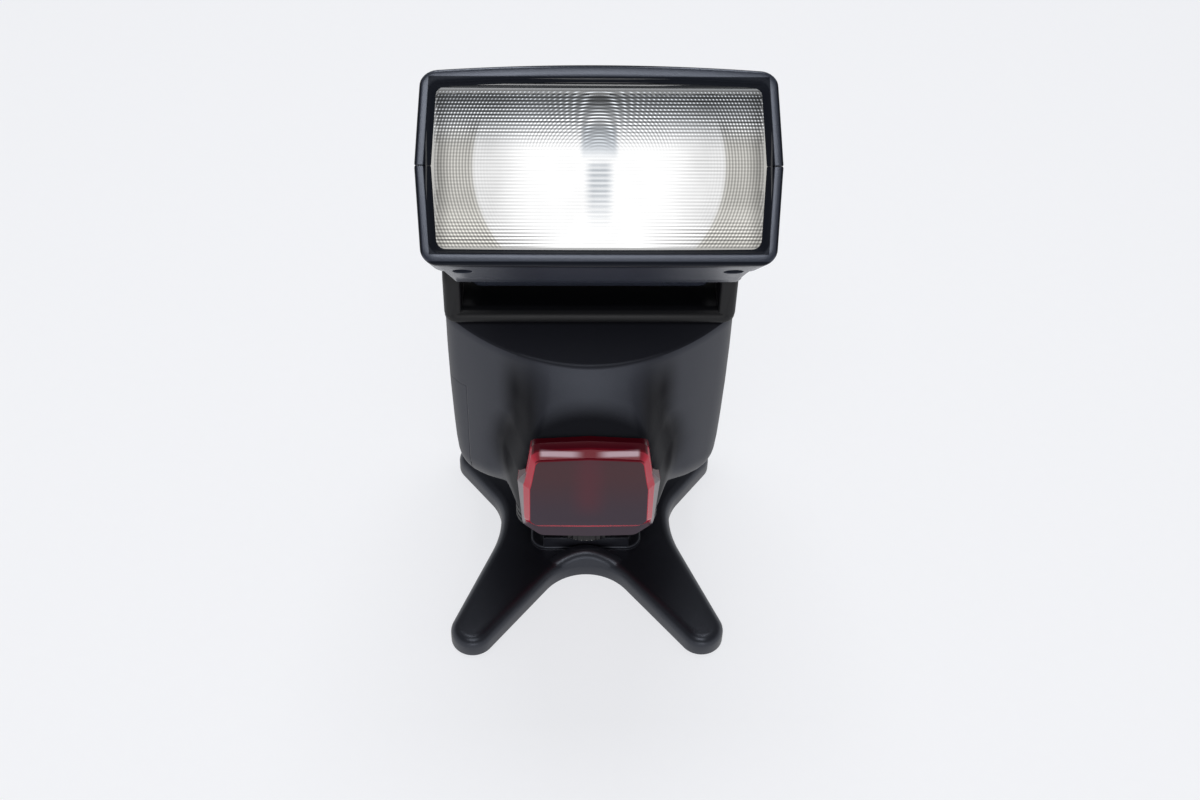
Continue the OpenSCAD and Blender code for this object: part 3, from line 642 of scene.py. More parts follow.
def build_head():
    make("head_upper_cover", head_shell(True), BEZEL_BLACK, "head",
         ["head_upper_shell"], HEAD_MATRIX, sharp=28)
    lower = new_object("head_lower_cover", head_shell(False), HEAD_MATRIX)
    x, y = SCREW_SPOT
    for side in (-1, 1):
        carve(lower, rod(2.05, -14, SCREW_SEAT, 32, "z", (side * x, y, 0)))
    dress(lower, BEZEL_BLACK, "head", ["head_lower_shell"], 28)

    corners = [(-60, 8), (-26, -1.2), (-4, -7.3), (7.2, -3.5), (7.2, 15), (2.5, 23.4), (-22, 31), (-60, 31)]
    neck_view = fillet(corners, [2, 6, 6, 5, 5, 4, 4, 2], 7)
    make("head_neck", prism(neck_view, -NECK_HW, NECK_HW, "x", 2.6, 2.6, SOFT), HEAD_BLACK, "head",
         matrix=HEAD_MATRIX)

    for i, side in enumerate((1, -1)):
        rim = [(0, -1.5), (1.2, -1.5), (1.75, -1.3), (1.95, -0.9), (1.95, -0.02), (0.8, -0.02)]
        turned = [(r, SCREW_SEAT + rise) for r, rise in rim] + [(0.8, 19), (0, 19)]
        screw = new_object(f"head_screw_{i + 1}", lathe(turned, 28, "z", (side * x, y, 0)), HEAD_MATRIX)
        for a, b in ((1.1, 0.2), (0.2, 1.1)):
            carve(screw, box((side * x - a, y - b, SCREW_SEAT - 2), (side * x + a, y + b, SCREW_SEAT - 0.8)))
        dress(screw, SCREW_BLACK, "head")
    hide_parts("head_screws")


# ---------- lens ----------

LENS_HW = 33.05
LENS_LOW = -16.75
LENS_HIGH = 15.25
LENS_FRONT = HEAD_FRONT + 1.05
PANEL_RISE = 15.88
GROOVED_R = 37.0
RING_PITCH = 0.60
RIDGE_PITCH = 0.68


def lens_reach(angle, margin):
    """Distance from the lens centre to its edge, less a margin, in a direction."""
    c, s = math.cos(angle), math.sin(angle)
    reach = (LENS_HW - margin) / max(1e-9, abs(c))
    side = (LENS_HIGH if s > 0 else -LENS_LOW) - margin
    return min(reach, side / max(1e-9, abs(s)))


def lens_solid(spokes=400):
    """Clear plate with circular saw-tooth grooves."""
    angles = [2 * math.pi * i / spokes for i in range(spokes)]
    radii = [(0.02, 0.0)]
    for k in range(math.ceil(GROOVED_R / RING_PITCH)):
        radii += [(k * RING_PITCH + 0.06, 0.0), (k * RING_PITCH + 0.52, 0.10)]
    rings = []
    for r, depth in radii:
        ring = []
        for a in angles:
            reach = lens_reach(a, 1.1)
            if r < reach:
                ring.append((r * math.cos(a), LENS_FRONT + depth, LENS_RISE + r * math.sin(a)))
            else:
                ring.append((reach * math.cos(a), LENS_FRONT, LENS_RISE + reach * math.sin(a)))
        rings.append(ring)
    for y in (LENS_FRONT, LENS_FRONT + 2.2):
        rings.append([(lens_reach(a, 0.0) * math.cos(a), y, LENS_RISE + lens_reach(a, 0.0) * math.sin(a))
                      for a in angles])
    return loft(rings)


def lens_material():
    """Grooved clear plastic with the light of the reflector behind it painted in: white centre, beige sides, dark
    hatched top, given off as emission.
    """
    t = Nodes("fresnel_plastic")
    x, _, height = t.place()
    z = height - LENS_RISE
    ax = t.size(x)
    r = t.math("SQRT", x * x + z * z)
    cloud = t.noise(1 / (7 * MM), 3.0)

    def less(value, amount, mask):
        """Value made darker by a share where the mask is 1."""
        return value * (1.0 - mask * amount)

    def lines(value, pitch, sharpness):
        wave = t.math("SINE", value * (2 * math.pi / pitch))
        return t.math("POWER", wave * 0.5 + 0.5, sharpness)

    # Painted brightness: dark at the top, white in the middle, darker past the round zone and at the ends
    top = t.step(z, 2.0, 15.5)
    outside = t.step(r, 24.3, 25.5)
    tone = 1.03 - top * 0.70
    tone = less(tone, 0.12, t.step(ax, 13.0, 22.0))
    tone = less(tone, 0.19, outside * t.step(z, 11.0, 7.0))
    tone = less(tone, 0.26, t.step(ax, 28.6, 32.4))
    tone = less(tone, 0.12, t.step(z, -12.0, -16.5) * t.step(ax, 6.0, 20.0))
    tone += outside * t.step(z, -6.5, -10.0) * 0.06
    tone += t.step(ax, 24.0, 27.0) * t.step(z, 4.5, 7.0) * t.step(z, 9.5, 7.5) * 0.07
    tone += (cloud - 0.5) * 0.10

    # Shadow of the flash tube's lead down the middle: a solid upper part and a striped lower part
    upper = t.step(ax, 4.2, 2.8) * t.step(z, 0.5, 4.5) * t.step(z, 9.8, 7.0)
    lower = t.step(ax, 3.4, 1.0) * t.step(z, -14.0, -3.0) * t.step(z, 2.0, -0.5)
    lower *= 0.35 + lines(z, 1.5 * RIDGE_PITCH, 1.0) * 0.65
    crown = t.step(ax, 3.0, 1.6) * t.step(z, 11.5, 13.5)
    tone = less(tone, 0.20, upper)
    tone = less(tone, 0.26, lower)
    tone = less(tone, 0.30, crown)

    # Painted light and shade of two sets of grooves, crossing; they show most at the top and past the round zone
    rings = lines(r, RING_PITCH, 1.0)
    ridges = lines(z, RIDGE_PITCH, 1.0)
    uneven = 0.1 + t.noise(1 / (1.6 * MM), 2.0, stretch=(0.12, 1.0, 1.0)) * 1.8
    high = t.step(z, 3.0, 11.0)
    low_ends = t.step(z, -9.5, -14.5) * t.step(ax, 7.0, 16.0)
    rows = high * 0.80 + low_ends * 0.45 + 0.05 + t.step(ax, 9.0, 20.0) * 0.10
    arcs = t.step(z, 2.5, 6.0) * t.step(r, 17.5, 13.0)
    loops = high * 0.16 + outside * 0.26 + arcs * 0.26 + t.step(r, 20.0, 24.0) * 0.05
    tone *= 1.0 + (ridges - 0.55) * rows * uneven
    tone *= 1.0 + (rings - 0.55) * loops
    # Painted glints where the grooves cross
    glint = lines(r, RING_PITCH, 4.0) * lines(z, RIDGE_PITCH, 4.0) * high * uneven
    tone += glint * 0.5

    # Plain moulded border round the grooves, with painted brightness that is darker towards the top
    edge_x = t.step(ax, LENS_HW - 0.75, LENS_HW - 0.6)
    edge_high = t.step(z, LENS_HIGH - 0.45, LENS_HIGH - 0.3)
    edge_low = t.step(z, LENS_LOW + 0.85, LENS_LOW + 0.7)
    border = t.most(edge_x, edge_high, edge_low)
    tone = between(border, tone, between(t.step(z, 8.0, 15.0), 0.66, 0.42))
    light = t.math("POWER", t.most(tone, 0.02), 2.2)
    cream = outside * t.step(z, 10.0, 4.0)
    cool = t.most(top, upper, lower)
    tint = t.mix(cream, (1.0, 1.0, 1.0), (1.0, 0.98, 0.92))
    tint = t.mix((cool * 0.8).clamped(), tint, (0.90, 0.97, 1.05))
    look = t.vector("SCALE", tint, Scale=light)
    # The painted brightness is given off as emission, so the lens glows though the flash is not firing
    t.set(Base_Color=t.mix(0.88, look, (0.0, 0.0, 0.0)), Roughness=0.25, Emission_Color=look,
          Emission_Strength=0.86, IOR=1.49)
    return t.material


def build_lens():
    # Dark gasket that hides the edge of the lens
    corner = lambda w, h, r: [(x, LENS_RISE + z - 0.16) for x, z in rectangle(w, h, r, 7)]
    band = prism(corner(67.9, 34.4, 3.0), HEAD_FRONT + 0.14, HEAD_FRONT + 1.3, "y")
    gasket = new_object("lens_gasket", band, HEAD_MATRIX)
    carve(gasket, prism(corner(67.5, 34.1, 3.0), HEAD_FRONT - 1, HEAD_FRONT + 1.12, "y", 0, 0.8))
    carve(gasket, prism(corner(65.9, 32.7, 2.2), HEAD_FRONT + 1, HEAD_FRONT + 3, "y"))
    dress(gasket, GASKET_GREY, "head")
    make("fresnel_window", lens_solid(), lens_material(), "head", ["fresnel_lens"],
         HEAD_MATRIX, sharp=8)
    # The sheet's front edge is painted dark as the shade of the recess at the top of the lens opening
    sheet = rectangle(60, 1.0, 0.3, 4, 0, LENS_RISE + PANEL_RISE)
    make("wide_panel_sheet", prism(sheet, LENS_FRONT - 0.02, -38, "y", 0.25, 0.25),
         clear_plastic("panel_plastic", (0.7, 0.74, 0.76), 0.55, LENS_FRONT), "panel",
         ["wide_panel"], HEAD_MATRIX)


# ---------- swivel bracket ----------

ARM_R = 10.4
ARM_IN = 31.2
ARM_OUT = 35.6


def build_bracket():
    low, _ = node_box("swivel_bracket")
    plan = rectangle(2 * ARM_OUT, 22, 3.2, 7, 0, PIVOT_Y)
    base = new_object("swivel_yoke", prism(plan, low[2], low[2] + 3.7, "z", 0.4, 2.8, SOFT))
    arm_view = [(PIVOT_Y - ARM_R, low[2] + 1.2), (PIVOT_Y + ARM_R, low[2] + 1.2)] + \
        arc(PIVOT_Y, PIVOT_Z, ARM_R, 0, 180, 33)
    arm = prism(arm_view, ARM_IN, ARM_OUT, "x", 0.8, 1.5, SOFT)
    carve(base, arm, "UNION")
    carve(base, mirrored(arm), "UNION")
    carve(base, rod(5.6, ARM_OUT - 3, 40, 40, "x", (0, PIVOT_Y, PIVOT_Z)))
    dress(base, PART_BLACK, "swivel", ["swivel_bracket"], 30)

    rim = [(0, 34), (3.4, 34), (3.4, 35.3), (5.5, 35.3), (5.5, 36.4), (5.2, 36.85), (4.6, 37), (3.9, 36.9),
           (3.4, 36.6), (0, 36.45)]
    make("tilt_button", lathe(rim, 48, "x", (0, PIVOT_Y, PIVOT_Z)), KEY_GREY, "tilt_button",
         ["tilt_release_button"], sharp=30)


# ---------- body ----------

BOW_R = 52.5
BOW_FRONT = -12.5
NOSE_Y = -20.2
TOP_CREST_Y = -1.0
TOP_SLOPE = math.tan(math.radians(20))
HALF_WIDTHS = [(24.0, 29.4), (25.2, 30.8), (27, 32.2), (29, 33.1), (33, 34.1), (38, 34.6), (45, 34.95),
               (58, 35.4), (70, 35.6), (90, 35.6)]
NOSE_HALF = [(26, 14.6), (30, 15.6), (34, 16.0), (47, 16.2), (56, 14.4), (61, 12.6), (66, 11.0), (78, 8.5)]


def body_front(x, z, t):
    """Front surface of the body, with its nose, moved in by t."""
    x = abs(x)
    bow = BOW_FRONT + BOW_R - math.sqrt(BOW_R ** 2 - x * x)
    bow += 5.0 * max(0.0, (34 - z) / 9.5) ** 2
    climb = max(0.0, min(1.0, (z - 60.5) / 16.5))
    ridge = lerp(NOSE_Y + 0.0008 * x * x, bow, 0.75 * climb + 0.25 * smooth(climb))
    ridge += 2.0 * max(0.0, (30 - z) / 4) ** 2
    spread_out = (x - table(z, NOSE_HALF) + t) / (6.6 + 3.0 * climb)
    valley = 0.55 * math.exp(-((spread_out - 1.15) / 0.45) ** 2) * (1 - climb)
    return lerp(ridge, bow, smooth(spread_out)) + valley + t


def body_lid(y, upper):
    """Height of the body's top or underside at y."""
    if upper:
        return BODY_TOP + min(0.0, (y - TOP_CREST_Y) * TOP_SLOPE)
    return BODY_BOTTOM + max(0.0, 4 - y) * 4 / 34


# Width and depth of the rounded corner between the front and the sides, and its share of the side's points
TURN_X = 2.4
TURN_Y = 4.6
TURN_SHARE = 0.56


def body_ring(u, lift, t, back):
    """Plan of the body as a closed ring at share u of its height, lifted by lift and moved in by t."""
    half = []
    count_x, count_y = 41, 9
    for i in range(count_x + count_y):
        z = lerp(BODY_BOTTOM, BODY_TOP, u) + lift
        for _ in range(5):
            hw = table(z, HALF_WIDTHS) - t
            if i < count_x:
                x = (hw - TURN_X) * i / (count_x - 1)
                y = body_front(x, z, t)
            else:
                share = (i - count_x + 1) / count_y
                y0 = body_front(hw - TURN_X, z, t)
                y1 = y0 + TURN_Y
                if share <= TURN_SHARE:
                    b = share / TURN_SHARE
                    slope_y = y0 + 2.1
                    x = lerp(lerp(hw - TURN_X, hw, b), hw, b)
                    y = lerp(lerp(y0, slope_y, b), lerp(slope_y, y1, b), b)
                else:
                    x, y = hw, lerp(y1, back, (share - TURN_SHARE) / (1 - TURN_SHARE))
            z = lerp(body_lid(y, False), body_lid(y, True), u) + lift
        half.append((x, y, z))
    return half + [(-x, y, z) for x, y, z in reversed(half)]


def body_skin(t, back, rounding=1.0):
    """Closed skin of the body, moved in by t, up to a flat back."""
    rows = [(0.0, t, t + rounding), (0.0, t + 0.3 * rounding, t + 0.3 * rounding), (0.0, t + rounding, t)]
    rows += [(u, 0.0, t) for u in spread(0.045, 0.955, 44)]
    rows += [(1.0, -t - rounding, t), (1.0, -t - 0.3 * rounding, t + 0.3 * rounding), (1.0, -t, t + rounding)]
    return loft([body_ring(u, lift, inward, back) for u, lift, inward in rows], cap="strip")


COVER_LOW, COVER_HIGH = node_box("battery_cover")


def cover_block(grow):
    """Space of the battery door, with its three straight edges."""
    x, y, z = COVER_HIGH
    return box((-45, COVER_LOW[1] - grow, BODY_BOTTOM - 6), (x + 0.3 + grow, y - 1.2 + grow, z + grow))


def build_body():
    front = new_object("body_front_cover", body_skin(0.0, SEAM_Y))
    carve(front, body_skin(WALL, SEAM_Y + 2, 0.6))
    carve(front, rod(7.1, 76, 84, 48, "z", (0, PIVOT_Y, 0)))
    door = new_object("battery_door", body_skin(0.0, SEAM_Y))
    carve(door, body_skin(WALL, SEAM_Y + 2, 0.6))
    carve(door, cover_block(-0.05), "INTERSECT")
    carve(front, cover_block(0.05))
    dress(front, NOSE_BLACK, "flash_body", ["body_front_shell"], 32)
    dress(door, BODY_BLACK, "cover", ["battery_cover"], 32)


# ---------- autofocus window ----------

# Right half of each outline as (x, z) points, and the radii of its corners
ROUNDED = [0, 3.2, 2.4, 1.0, 1.0, 2.6, 0]
WINDOW_FACE = ([(0.01, 33.0), (13.6, 33.1), (14.9, 34.6), (14.8, 47.0), (14.4, 49.0), (13.2, 57.4),
                (0.01, 58.2)], [0, 1.0, 0.8, 0.6, 0.6, 1.6, 0])
WINDOW_RIM = ([(0.01, 30.6), (13.4, 30.9), (16.2, 33.4), (16.3, 47.0), (15.8, 49.4), (14.2, 59.6),
               (0.01, 60.4)], ROUNDED)
WINDOW_FLANGE = ([(0.01, 26.2), (12.2, 26.6), (17.0, 31.2), (18.0, 47.0), (15.9, 49.8), (14.4, 60.6),
                  (0.01, 61.5)], ROUNDED)


def window_ring(drawing, y, grow=0.0, lip=0.0):
    """Outline of the window at depth y; lip brings its lower edge forward."""
    half, radii = drawing
    points = half + [(-x, z) for x, z in reversed(half)]
    shape = inset(fillet(points, radii + radii[::-1], 6), -grow)
    return [(x, y - lip * smooth((33 - z) / 3), z) for x, z in shape]


def build_window():
    face = NOSE_Y - 4.8
    rows = [(WINDOW_FLANGE, NOSE_Y + 5.0, -0.3), (WINDOW_FLANGE, NOSE_Y - 1.4, 0.0, 1.2),
            (WINDOW_FLANGE, NOSE_Y - 1.7, -0.2, 1.2), (WINDOW_RIM, NOSE_Y - 3.0, 0.15),
            (WINDOW_RIM, NOSE_Y - 3.3),
            (WINDOW_FACE, face + 0.45, 0.35), (WINDOW_FACE, face + 0.15, 0.22), (WINDOW_FACE, face),
            (WINDOW_FACE, face - 0.02, -0.3)]
    skin = loft([window_ring(*row) for row in rows], cap="strip")
    make("af_window_lens", skin, WINDOW_RED, "flash_body", ["af_window"], sharp=24)


# ---------- back of the body ----------

BODY_SCREWS = [(29.6, 77.2), (-29.6, 77.2), (29.0, 30.2), (-20.0, 30.2)]
# Depth inside the back where an opening starts, and places past its face
INNER = SEAM_Y + 3
PAST = BODY_BACK + 2
KEY_DEPTH = 2.3
KEY_ROOT = BODY_BACK - KEY_DEPTH
SWITCH_SLOT = (33.0, 44.0)
# Bars of a seven-bar figure as (left, low, width, height)
FIGURE_BARS = {"a": (0.3, 5.2, 2.2, 0.5), "b": (2.4, 3.0, 0.5, 2.1), "c": (2.4, 0.5, 0.5, 2.1),
               "d": (0.3, -0.1, 2.2, 0.5), "f": (-0.1, 3.0, 0.5, 2.1), "g": (0.3, 2.55, 2.2, 0.5)}


def node_view(node):
    """Centre and size of a CAD node seen from behind: x, z, width, height."""
    low, high = node_box(node)
    return (low[0] + high[0]) / 2, (low[2] + high[2]) / 2, high[0] - low[0], high[2] - low[2]


def back_outline(d=0.0):
    """Outline of the body seen from behind, moved in by d."""
    hw = lambda z: table(z, HALF_WIDTHS)
    right = [(hw(z), z) for z in (29, 33, 38, 45, 58, 70)]
    right = [(30.0, BODY_BOTTOM), (33.1, 28.6)] + right[1:] + [(hw(BODY_TOP), BODY_TOP)]
    points = right + [(-x, z) for x, z in reversed(right)]
    radii = [max(0.4, 2.2 - d), max(0.8, 4 - d), 0, 0, 0, 0, 0, max(0.5, 1.9 - d)]
    return fillet(inset(points, d), radii + radii[::-1], 7)


def cut_back(rear, shape, start):
    """Opens or sinks a shape into the back, from start out past its face."""
    carve(rear, prism(shape, start, PAST, "y"))


def round_opening(r, dish, lip):
    """Tool for a round key: its hole of radius r, a ring sunk to dish (depth, radius) and a bevel to lip."""
    return [(0, INNER), (r, INNER), (r, BODY_BACK - dish[0]), (dish[1], BODY_BACK - dish[0]),
            (lip, BODY_BACK + 0.1), (lip, 40), (0, 40)]


def build_rear_shell():
    round_in = [(0, 2.6), (0.16, 1.66), (0.6, 0.84), (1.3, 0.3), (2.0, 0.06), (2.6, 0.0)]
    levels = [(SEAM_Y + 0.06, 0.25), (SEAM_Y + 0.31, 0.0)]
    levels += [(BODY_BACK - rise, move) for rise, move in reversed(round_in)]
    hollow = [(SEAM_Y - 1, WALL), (BODY_BACK - 3.2, WALL), (BODY_BACK - WALL, WALL + 1.6)]
    skin, room = [loft([[(x, y, z) for x, z in back_outline(d)] for y, d in rows])
                  for rows in (levels, hollow)]
    rear = new_object("body_rear_cover", skin)
    carve(rear, room)
    # Shallow dished panel round the display, and the display's own opening
    x, z, w, h = node_view("lcd_window")
    cut_back(rear, rectangle(w + 3.2, h + 2.6, 1.6, 6, x, z), BODY_BACK - 0.35)
    cut_back(rear, rectangle(w + 0.2, h + 0.2, 0.4, 4, x, z), INNER)
    return rear


def build_function_keys(rear):
    for key in ("mode_button", "sync_button", "zoom_button", "light_button"):
        x, z, w, h = node_view(key)
        w, h = w - 1.6, h - 1.2
        cut_back(rear, rectangle(w + 1.3, h + 1.3, 1.5, 5, x, z), BODY_BACK - 0.3)
        cut_back(rear, rectangle(w + 0.3, h + 0.3, 1.0, 5, x, z), INNER)
        cap = prism(rectangle(w, h, 0.9, 5, x, z), KEY_ROOT, BODY_BACK + 1.0, "y", 0, 0.5, SOFT)
        make(key + "_cap", cap, KEY_RUBBER, key, [key])


def build_arrow_pad(rear):
    x, z, w, h = node_view("set_key")
    pad_r = node_view("up_key")[1] + node_view("up_key")[3] / 2 - z
    tool = round_opening(pad_r + 0.15, (0.35, pad_r + 0.9), pad_r + 1.2)
    carve(rear, lathe(tool, 72, "y", (x, 0, z)))
    r = w / 2
    rim = [(0, -KEY_DEPTH), (r, -KEY_DEPTH), (r, 0.5), (r - 0.2, 0.85), (r - 0.6, 1.0), (r - 1.4, 0.9),
           (0, 0.7)]
    make("set_key_cap", lathe([(a, BODY_BACK + rise) for a, rise in rim], 48, "y", (x, 0, z)),
         KEY_RUBBER, "set_key", ["set_key"])
    for turn, key in ((0, "right_key"), (90, "up_key"), (180, "left_key"), (270, "down_key")):
        # Seen from behind, +X is on the left, so the right arrow key is on the -X side
        mid = 180 - turn if turn in (0, 180) else turn
        outer = arc(0, 0, pad_r, mid - 43.6, mid + 43.6, 17)
        inner = arc(0, 0, r + 0.35, mid + 39, mid - 39, 9)
        shape = [(x + a, z + b) for a, b in outer + inner]
        cap = new_object(key + "_cap", prism(shape, KEY_ROOT, BODY_BACK + 0.9, "y", 0, 0.4, SOFT))
        # Arrow-head mark sunk into the key
        c, s = math.cos(math.radians(mid)), math.sin(math.radians(mid))
        tip, base = pad_r - 1.5, pad_r - 3.0
        mark = [(x + along * c - across * s, z + along * s + across * c)
                for along, across in ((tip, 0.0), (base, 1.2), (base, -1.2))]
        cut_back(cap, mark, BODY_BACK + 0.6)
        dress(cap, KEY_RUBBER, key, [key])


def build_test_button(rear):
    x, z, w, h = node_view("test_button")
    r = w / 2 - 0.6
    carve(rear, lathe(round_opening(r + 0.12, (0.3, r + 0.8), r + 1.0), 48, "y", (x, 0, z)))
    dome = [(0, -KEY_DEPTH), (r, -KEY_DEPTH), (r, 0.4), (r - 0.25, 0.8), (r - 0.8, 1.0), (0, 1.05)]
    make("test_button_lamp", lathe([(a, BODY_BACK + rise) for a, rise in dome], 40, "y", (x, 0, z)), LAMP_RED,
         "test_button", ["test_button"])


def build_power_switch(rear):
    x, z, w, h = node_view("power_switch")
    low, high = SWITCH_SLOT
    middle, length = (low + high) / 2, high - low
    cut_back(rear, rectangle(w + 0.2, length, 1.2, 5, x, middle), INNER)
    cut_back(rear, rectangle(w + 1.8, length + 1.8, 2.0, 6, x, middle), BODY_BACK - 0.3)
    liner = rectangle(w + 1.6, length + 1.6, 1.2, 5, x, middle)
    make("power_switch_liner", prism(liner, BODY_BACK - 3.2, BODY_BACK - 2.6, "y"), PART_BLACK, "flash_body")
    slide = prism(rectangle(w, h, 1.0, 5, x, z), KEY_ROOT, BODY_BACK + 0.5, "y", 0, 0.3)
    knob = new_object("power_switch_knob", slide)
    for i in range(5):
        rib = rectangle(w - 1.2, 0.36, 0.15, 3, x, z - 1.5 + 0.75 * i)
        carve(knob, prism(rib, BODY_BACK + 0.3, BODY_BACK + 1.35, "y", 0, 0.12), "UNION")
    dress(knob, KEY_GREY, "power_slider", ["power_switch"])


def build_body_screws(rear):
    """Screws at the four corners of the back, in their recesses."""
    seat = BODY_BACK - 3.6
    for i, (x, z) in enumerate(BODY_SCREWS):
        recess = [(0, seat), (2.2, seat), (2.2, BODY_BACK - 0.2), (2.5, BODY_BACK + 0.1), (2.5, 40), (0, 40)]
        carve(rear, lathe(recess, 32, "y", (x, 0, z)))
        rim = [(0.9, -3.5), (2.0, -3.5), (2.0, -2.6), (1.6, -2.25), (0, -2.15)]
        turned = [(0, 16), (0.9, 16.5)] + [(r, BODY_BACK + rise) for r, rise in rim]
        screw = new_object(f"body_screw_{i + 1}", lathe(turned, 28, "y", (x, 0, z)))
        for a, b in ((1.0, 0.22), (0.22, 1.0)):
            carve(screw, box((x - a, BODY_BACK - 3.0, z - b), (x + a, BODY_BACK - 1, z + b)))
        dress(screw, SCREW_BLACK, "flash_body")
    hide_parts("body_screws")


def build_display():
    x, z, w, h = node_view("lcd_window")
    y0, y1 = [corner[1] for corner in node_box("lcd_window")]
    make("display_cover", prism(rectangle(w, h, 0.4, 4, x, z), y0, y1, "y", 0, 0.15), CLEAR, "flash_body",
         ["lcd_window"])
    # Dark mask between the cover and the display
    sheet = rectangle(w - 0.1, h - 0.1, 0.3, 4, x, z)
    mask = new_object("display_mask", prism(sheet, y0 - 0.5, y0 - 0.08, "y"))
    carve(mask, prism(rectangle(w - 4, h - 3.4, 0.8, 5, x, z), y0 - 2, y0 + 2, "y"))
    dress(mask, GLOSS_BLACK, "flash_body")
    # Plain display content as (left, low, width, height): two figures, a battery and a distance scale
    bars = [(place + a, b, c, d) for place, lit in ((3.2, "abgcd"), (7.4, "afgcd"))
            for name, (a, b, c, d) in FIGURE_BARS.items() if name in lit]
    bars += [(-13.4 + 1.7 * i, 3.6, 1.3, 1.6) for i in range(4)]
    bars += [(-14.0, 3.0, 8.2, 0.25), (-14.0, 5.6, 8.2, 0.25), (-14.0, -2.6, 28.0, 0.3)]
    bars += [(-14.0 + 1.98 * i, -4.2 if i % 2 else -5.0, 0.3, 1.6 if i % 2 else 2.4) for i in range(15)]
    bars += [(-10.0 + 1.98 * i, -2.0, 1.5, 0.9) for i in range(9)]
    # Seen from behind, left to right runs towards -X
    solids = [box((x - left - width, y0 - 0.4, z + low), (x - left, y0 - 0.3, z + low + height))
              for left, low, width, height in bars]
    make("display_marks", join(*solids), moulded("display_ink", (0.03, 0.035, 0.03), rough=0.4, grain=0.0),
         "flash_body")


def build_back():
    rear = build_rear_shell()
    build_function_keys(rear)
    build_arrow_pad(rear)
    build_test_button(rear)
    build_power_switch(rear)
    build_body_screws(rear)
    dress(rear, BODY_BLACK, "flash_body", ["body_rear_shell"], 32)
    build_display()


# ---------- foot ----------

PIN_Y = -6.5


def build_foot():
    low, high = node_box("shoe_foot")
    plate_top = low[2] + 2.0
    foot = new_object("shoe_plate", prism(rectangle(18.6, 18, 1.5), low[2], plate_top, "z", 0.3, 0.3))
    carve(foot, prism(rectangle(12.2, 16, 2), plate_top - 0.5, high[2] - 0.5), "UNION")
    carve(foot, lathe([(0, high[2] - 1.1), (12.7, high[2] - 1.1), (13, high[2] - 0.8), (13, high[2] - 0.12),
                       (10.8, high[2] - 0.12), (10.8, high[2]), (0, high[2])], 64), "UNION")
    for x, y in ((0, 0), (-3.6, 2.6), (3.6, 2.6), (-3.6, -2.6), (3.6, -2.6)):
        carve(foot, rod(1.3, low[2] - 1, 14, 24, "z", (x, y, 0)))
    carve(foot, rod(0.95, low[2] - 1, 14, 24, "z", (0, PIN_Y, 0)))
    dress(foot, FOOT_METAL, "flash_body", ["shoe_foot"])

    low, _ = node_box("foot_housing")
    ring_top = 16.7
    block = prism(rectangle(38, 26, 6, 8), ring_top, BODY_BOTTOM - 0.05, "z", 0.6, 0)
    collar = new_object("foot_collar", block)
    ring = [(0, low[2]), (10.6, low[2]), (11, low[2] + 0.4), (11, ring_top + 0.5), (0, ring_top + 0.5)]
    carve(collar, lathe(ring, 64), "UNION")
    carve(collar, rod(1.3, low[2] - 1, 17.6, 24, "z", (0, PIN_Y, 0)))
    carve(collar, rod(5.6, low[2] - 1, 14.7, 40))
    outside, inside = rectangle(40, 28, 7, 8), rectangle(37.2, 25.2, 5.7, 8)
    for i in range(3):
        z = 18.4 + 1.8 * i
        rings = [[(x, y, height) for x, y in plan]
                 for plan, height in ((outside, z), (outside, z + 0.5), (inside, z + 0.5), (inside, z))]
        carve(collar, loft(rings, closed=True))
    dress(collar, PART_BLACK, "flash_body", ["foot_housing"])


def build_lever():
    (_, _, z0), (_, _, z1) = node_box("lock_lever")
    turn = Matrix.Rotation(math.radians(30), 4, "Z")
    teeth = 60
    rim = [(x * (1 + 0.25 / 13.75 * (i % 2)), y * (1 + 0.25 / 13.75 * (i % 2)))
           for i, (x, y) in enumerate(circle(13.75, 2 * teeth))]
    lever = new_object("lock_lever_arm", prism(rim, z0, z1, "z", 0.4, 0.4), turn)
    arm = fillet([(-4.2, 8), (4.2, 8), (5.5, 29.5), (-5.5, 29.5)], [1, 1, 3.2, 3.2], 8)
    carve(lever, prism(arm, z0, z1, "z", 0.5, 0.5), "UNION")
    carve(lever, rod(11.08, z0 - 1, z1 + 1, 64))
    for i in range(4):
        y = 16.5 + 1.1 * i
        carve(lever, box((-7, y, z1 - 0.3), (7, y + 0.45, z1 + 1)))
    carve(lever, box((-6.5, 21.05, z0 + 0.85), (-1.8, 25.45, z1 - 0.85)))
    dress(lever, PART_BLACK, "lever", ["lock_lever"])
    make("lever_button", prism(rectangle(4.2, 2.0, 0.5, 5, 23.25, 14.5), -6.35, -3.1, "x", 0.35, 0), KEY_GREY,
         "lever_button", ["lock_release_button"], turn)


# ---------- stand ----------

LEG_TIP_R = 5.8
WAIST_HW = 23.5
WAIST_Y = 1.0
FRONT_TIP = (30.2, -36.5)
REAR_TIP = (30.2, 24.0)
FRONT_ARCH_Y = -15.6
REAR_ARCH_Y = 11.0
HOLLOW_R = 13.5
FRONT_SIDE_R = 30.0


def leg_half(tip, arch_y):
    """Right side of one pair of legs, from the waist round the tip to the arch's crown."""
    tx, ty = tip
    back = 1 if ty > 0 else -1

    def toward_edge(cx, cy, r, side):
        """Direction from a hollow's centre to the straight edge that leads to the tip."""
        reach = math.hypot(tx - cx, ty - cy)
        return math.degrees(math.atan2(ty - cy, tx - cx) + side * math.acos((r + LEG_TIP_R) / reach))

    arch_cy = arch_y + back * HOLLOW_R
    side_r = HOLLOW_R if back > 0 else FRONT_SIDE_R
    outer = toward_edge(WAIST_HW + side_r, WAIST_Y, side_r, back) % 360
    inner = toward_edge(0, arch_cy, HOLLOW_R, -back)
    start = outer - 180
    end = inner - 180 if back < 0 else inner + 180
    return (arc(WAIST_HW + side_r, WAIST_Y, side_r, 180, outer, 10)
            + arc(tx, ty, LEG_TIP_R, start, end, 24)
            + arc(0, arch_cy, HOLLOW_R, inner, -90 * back, 12))


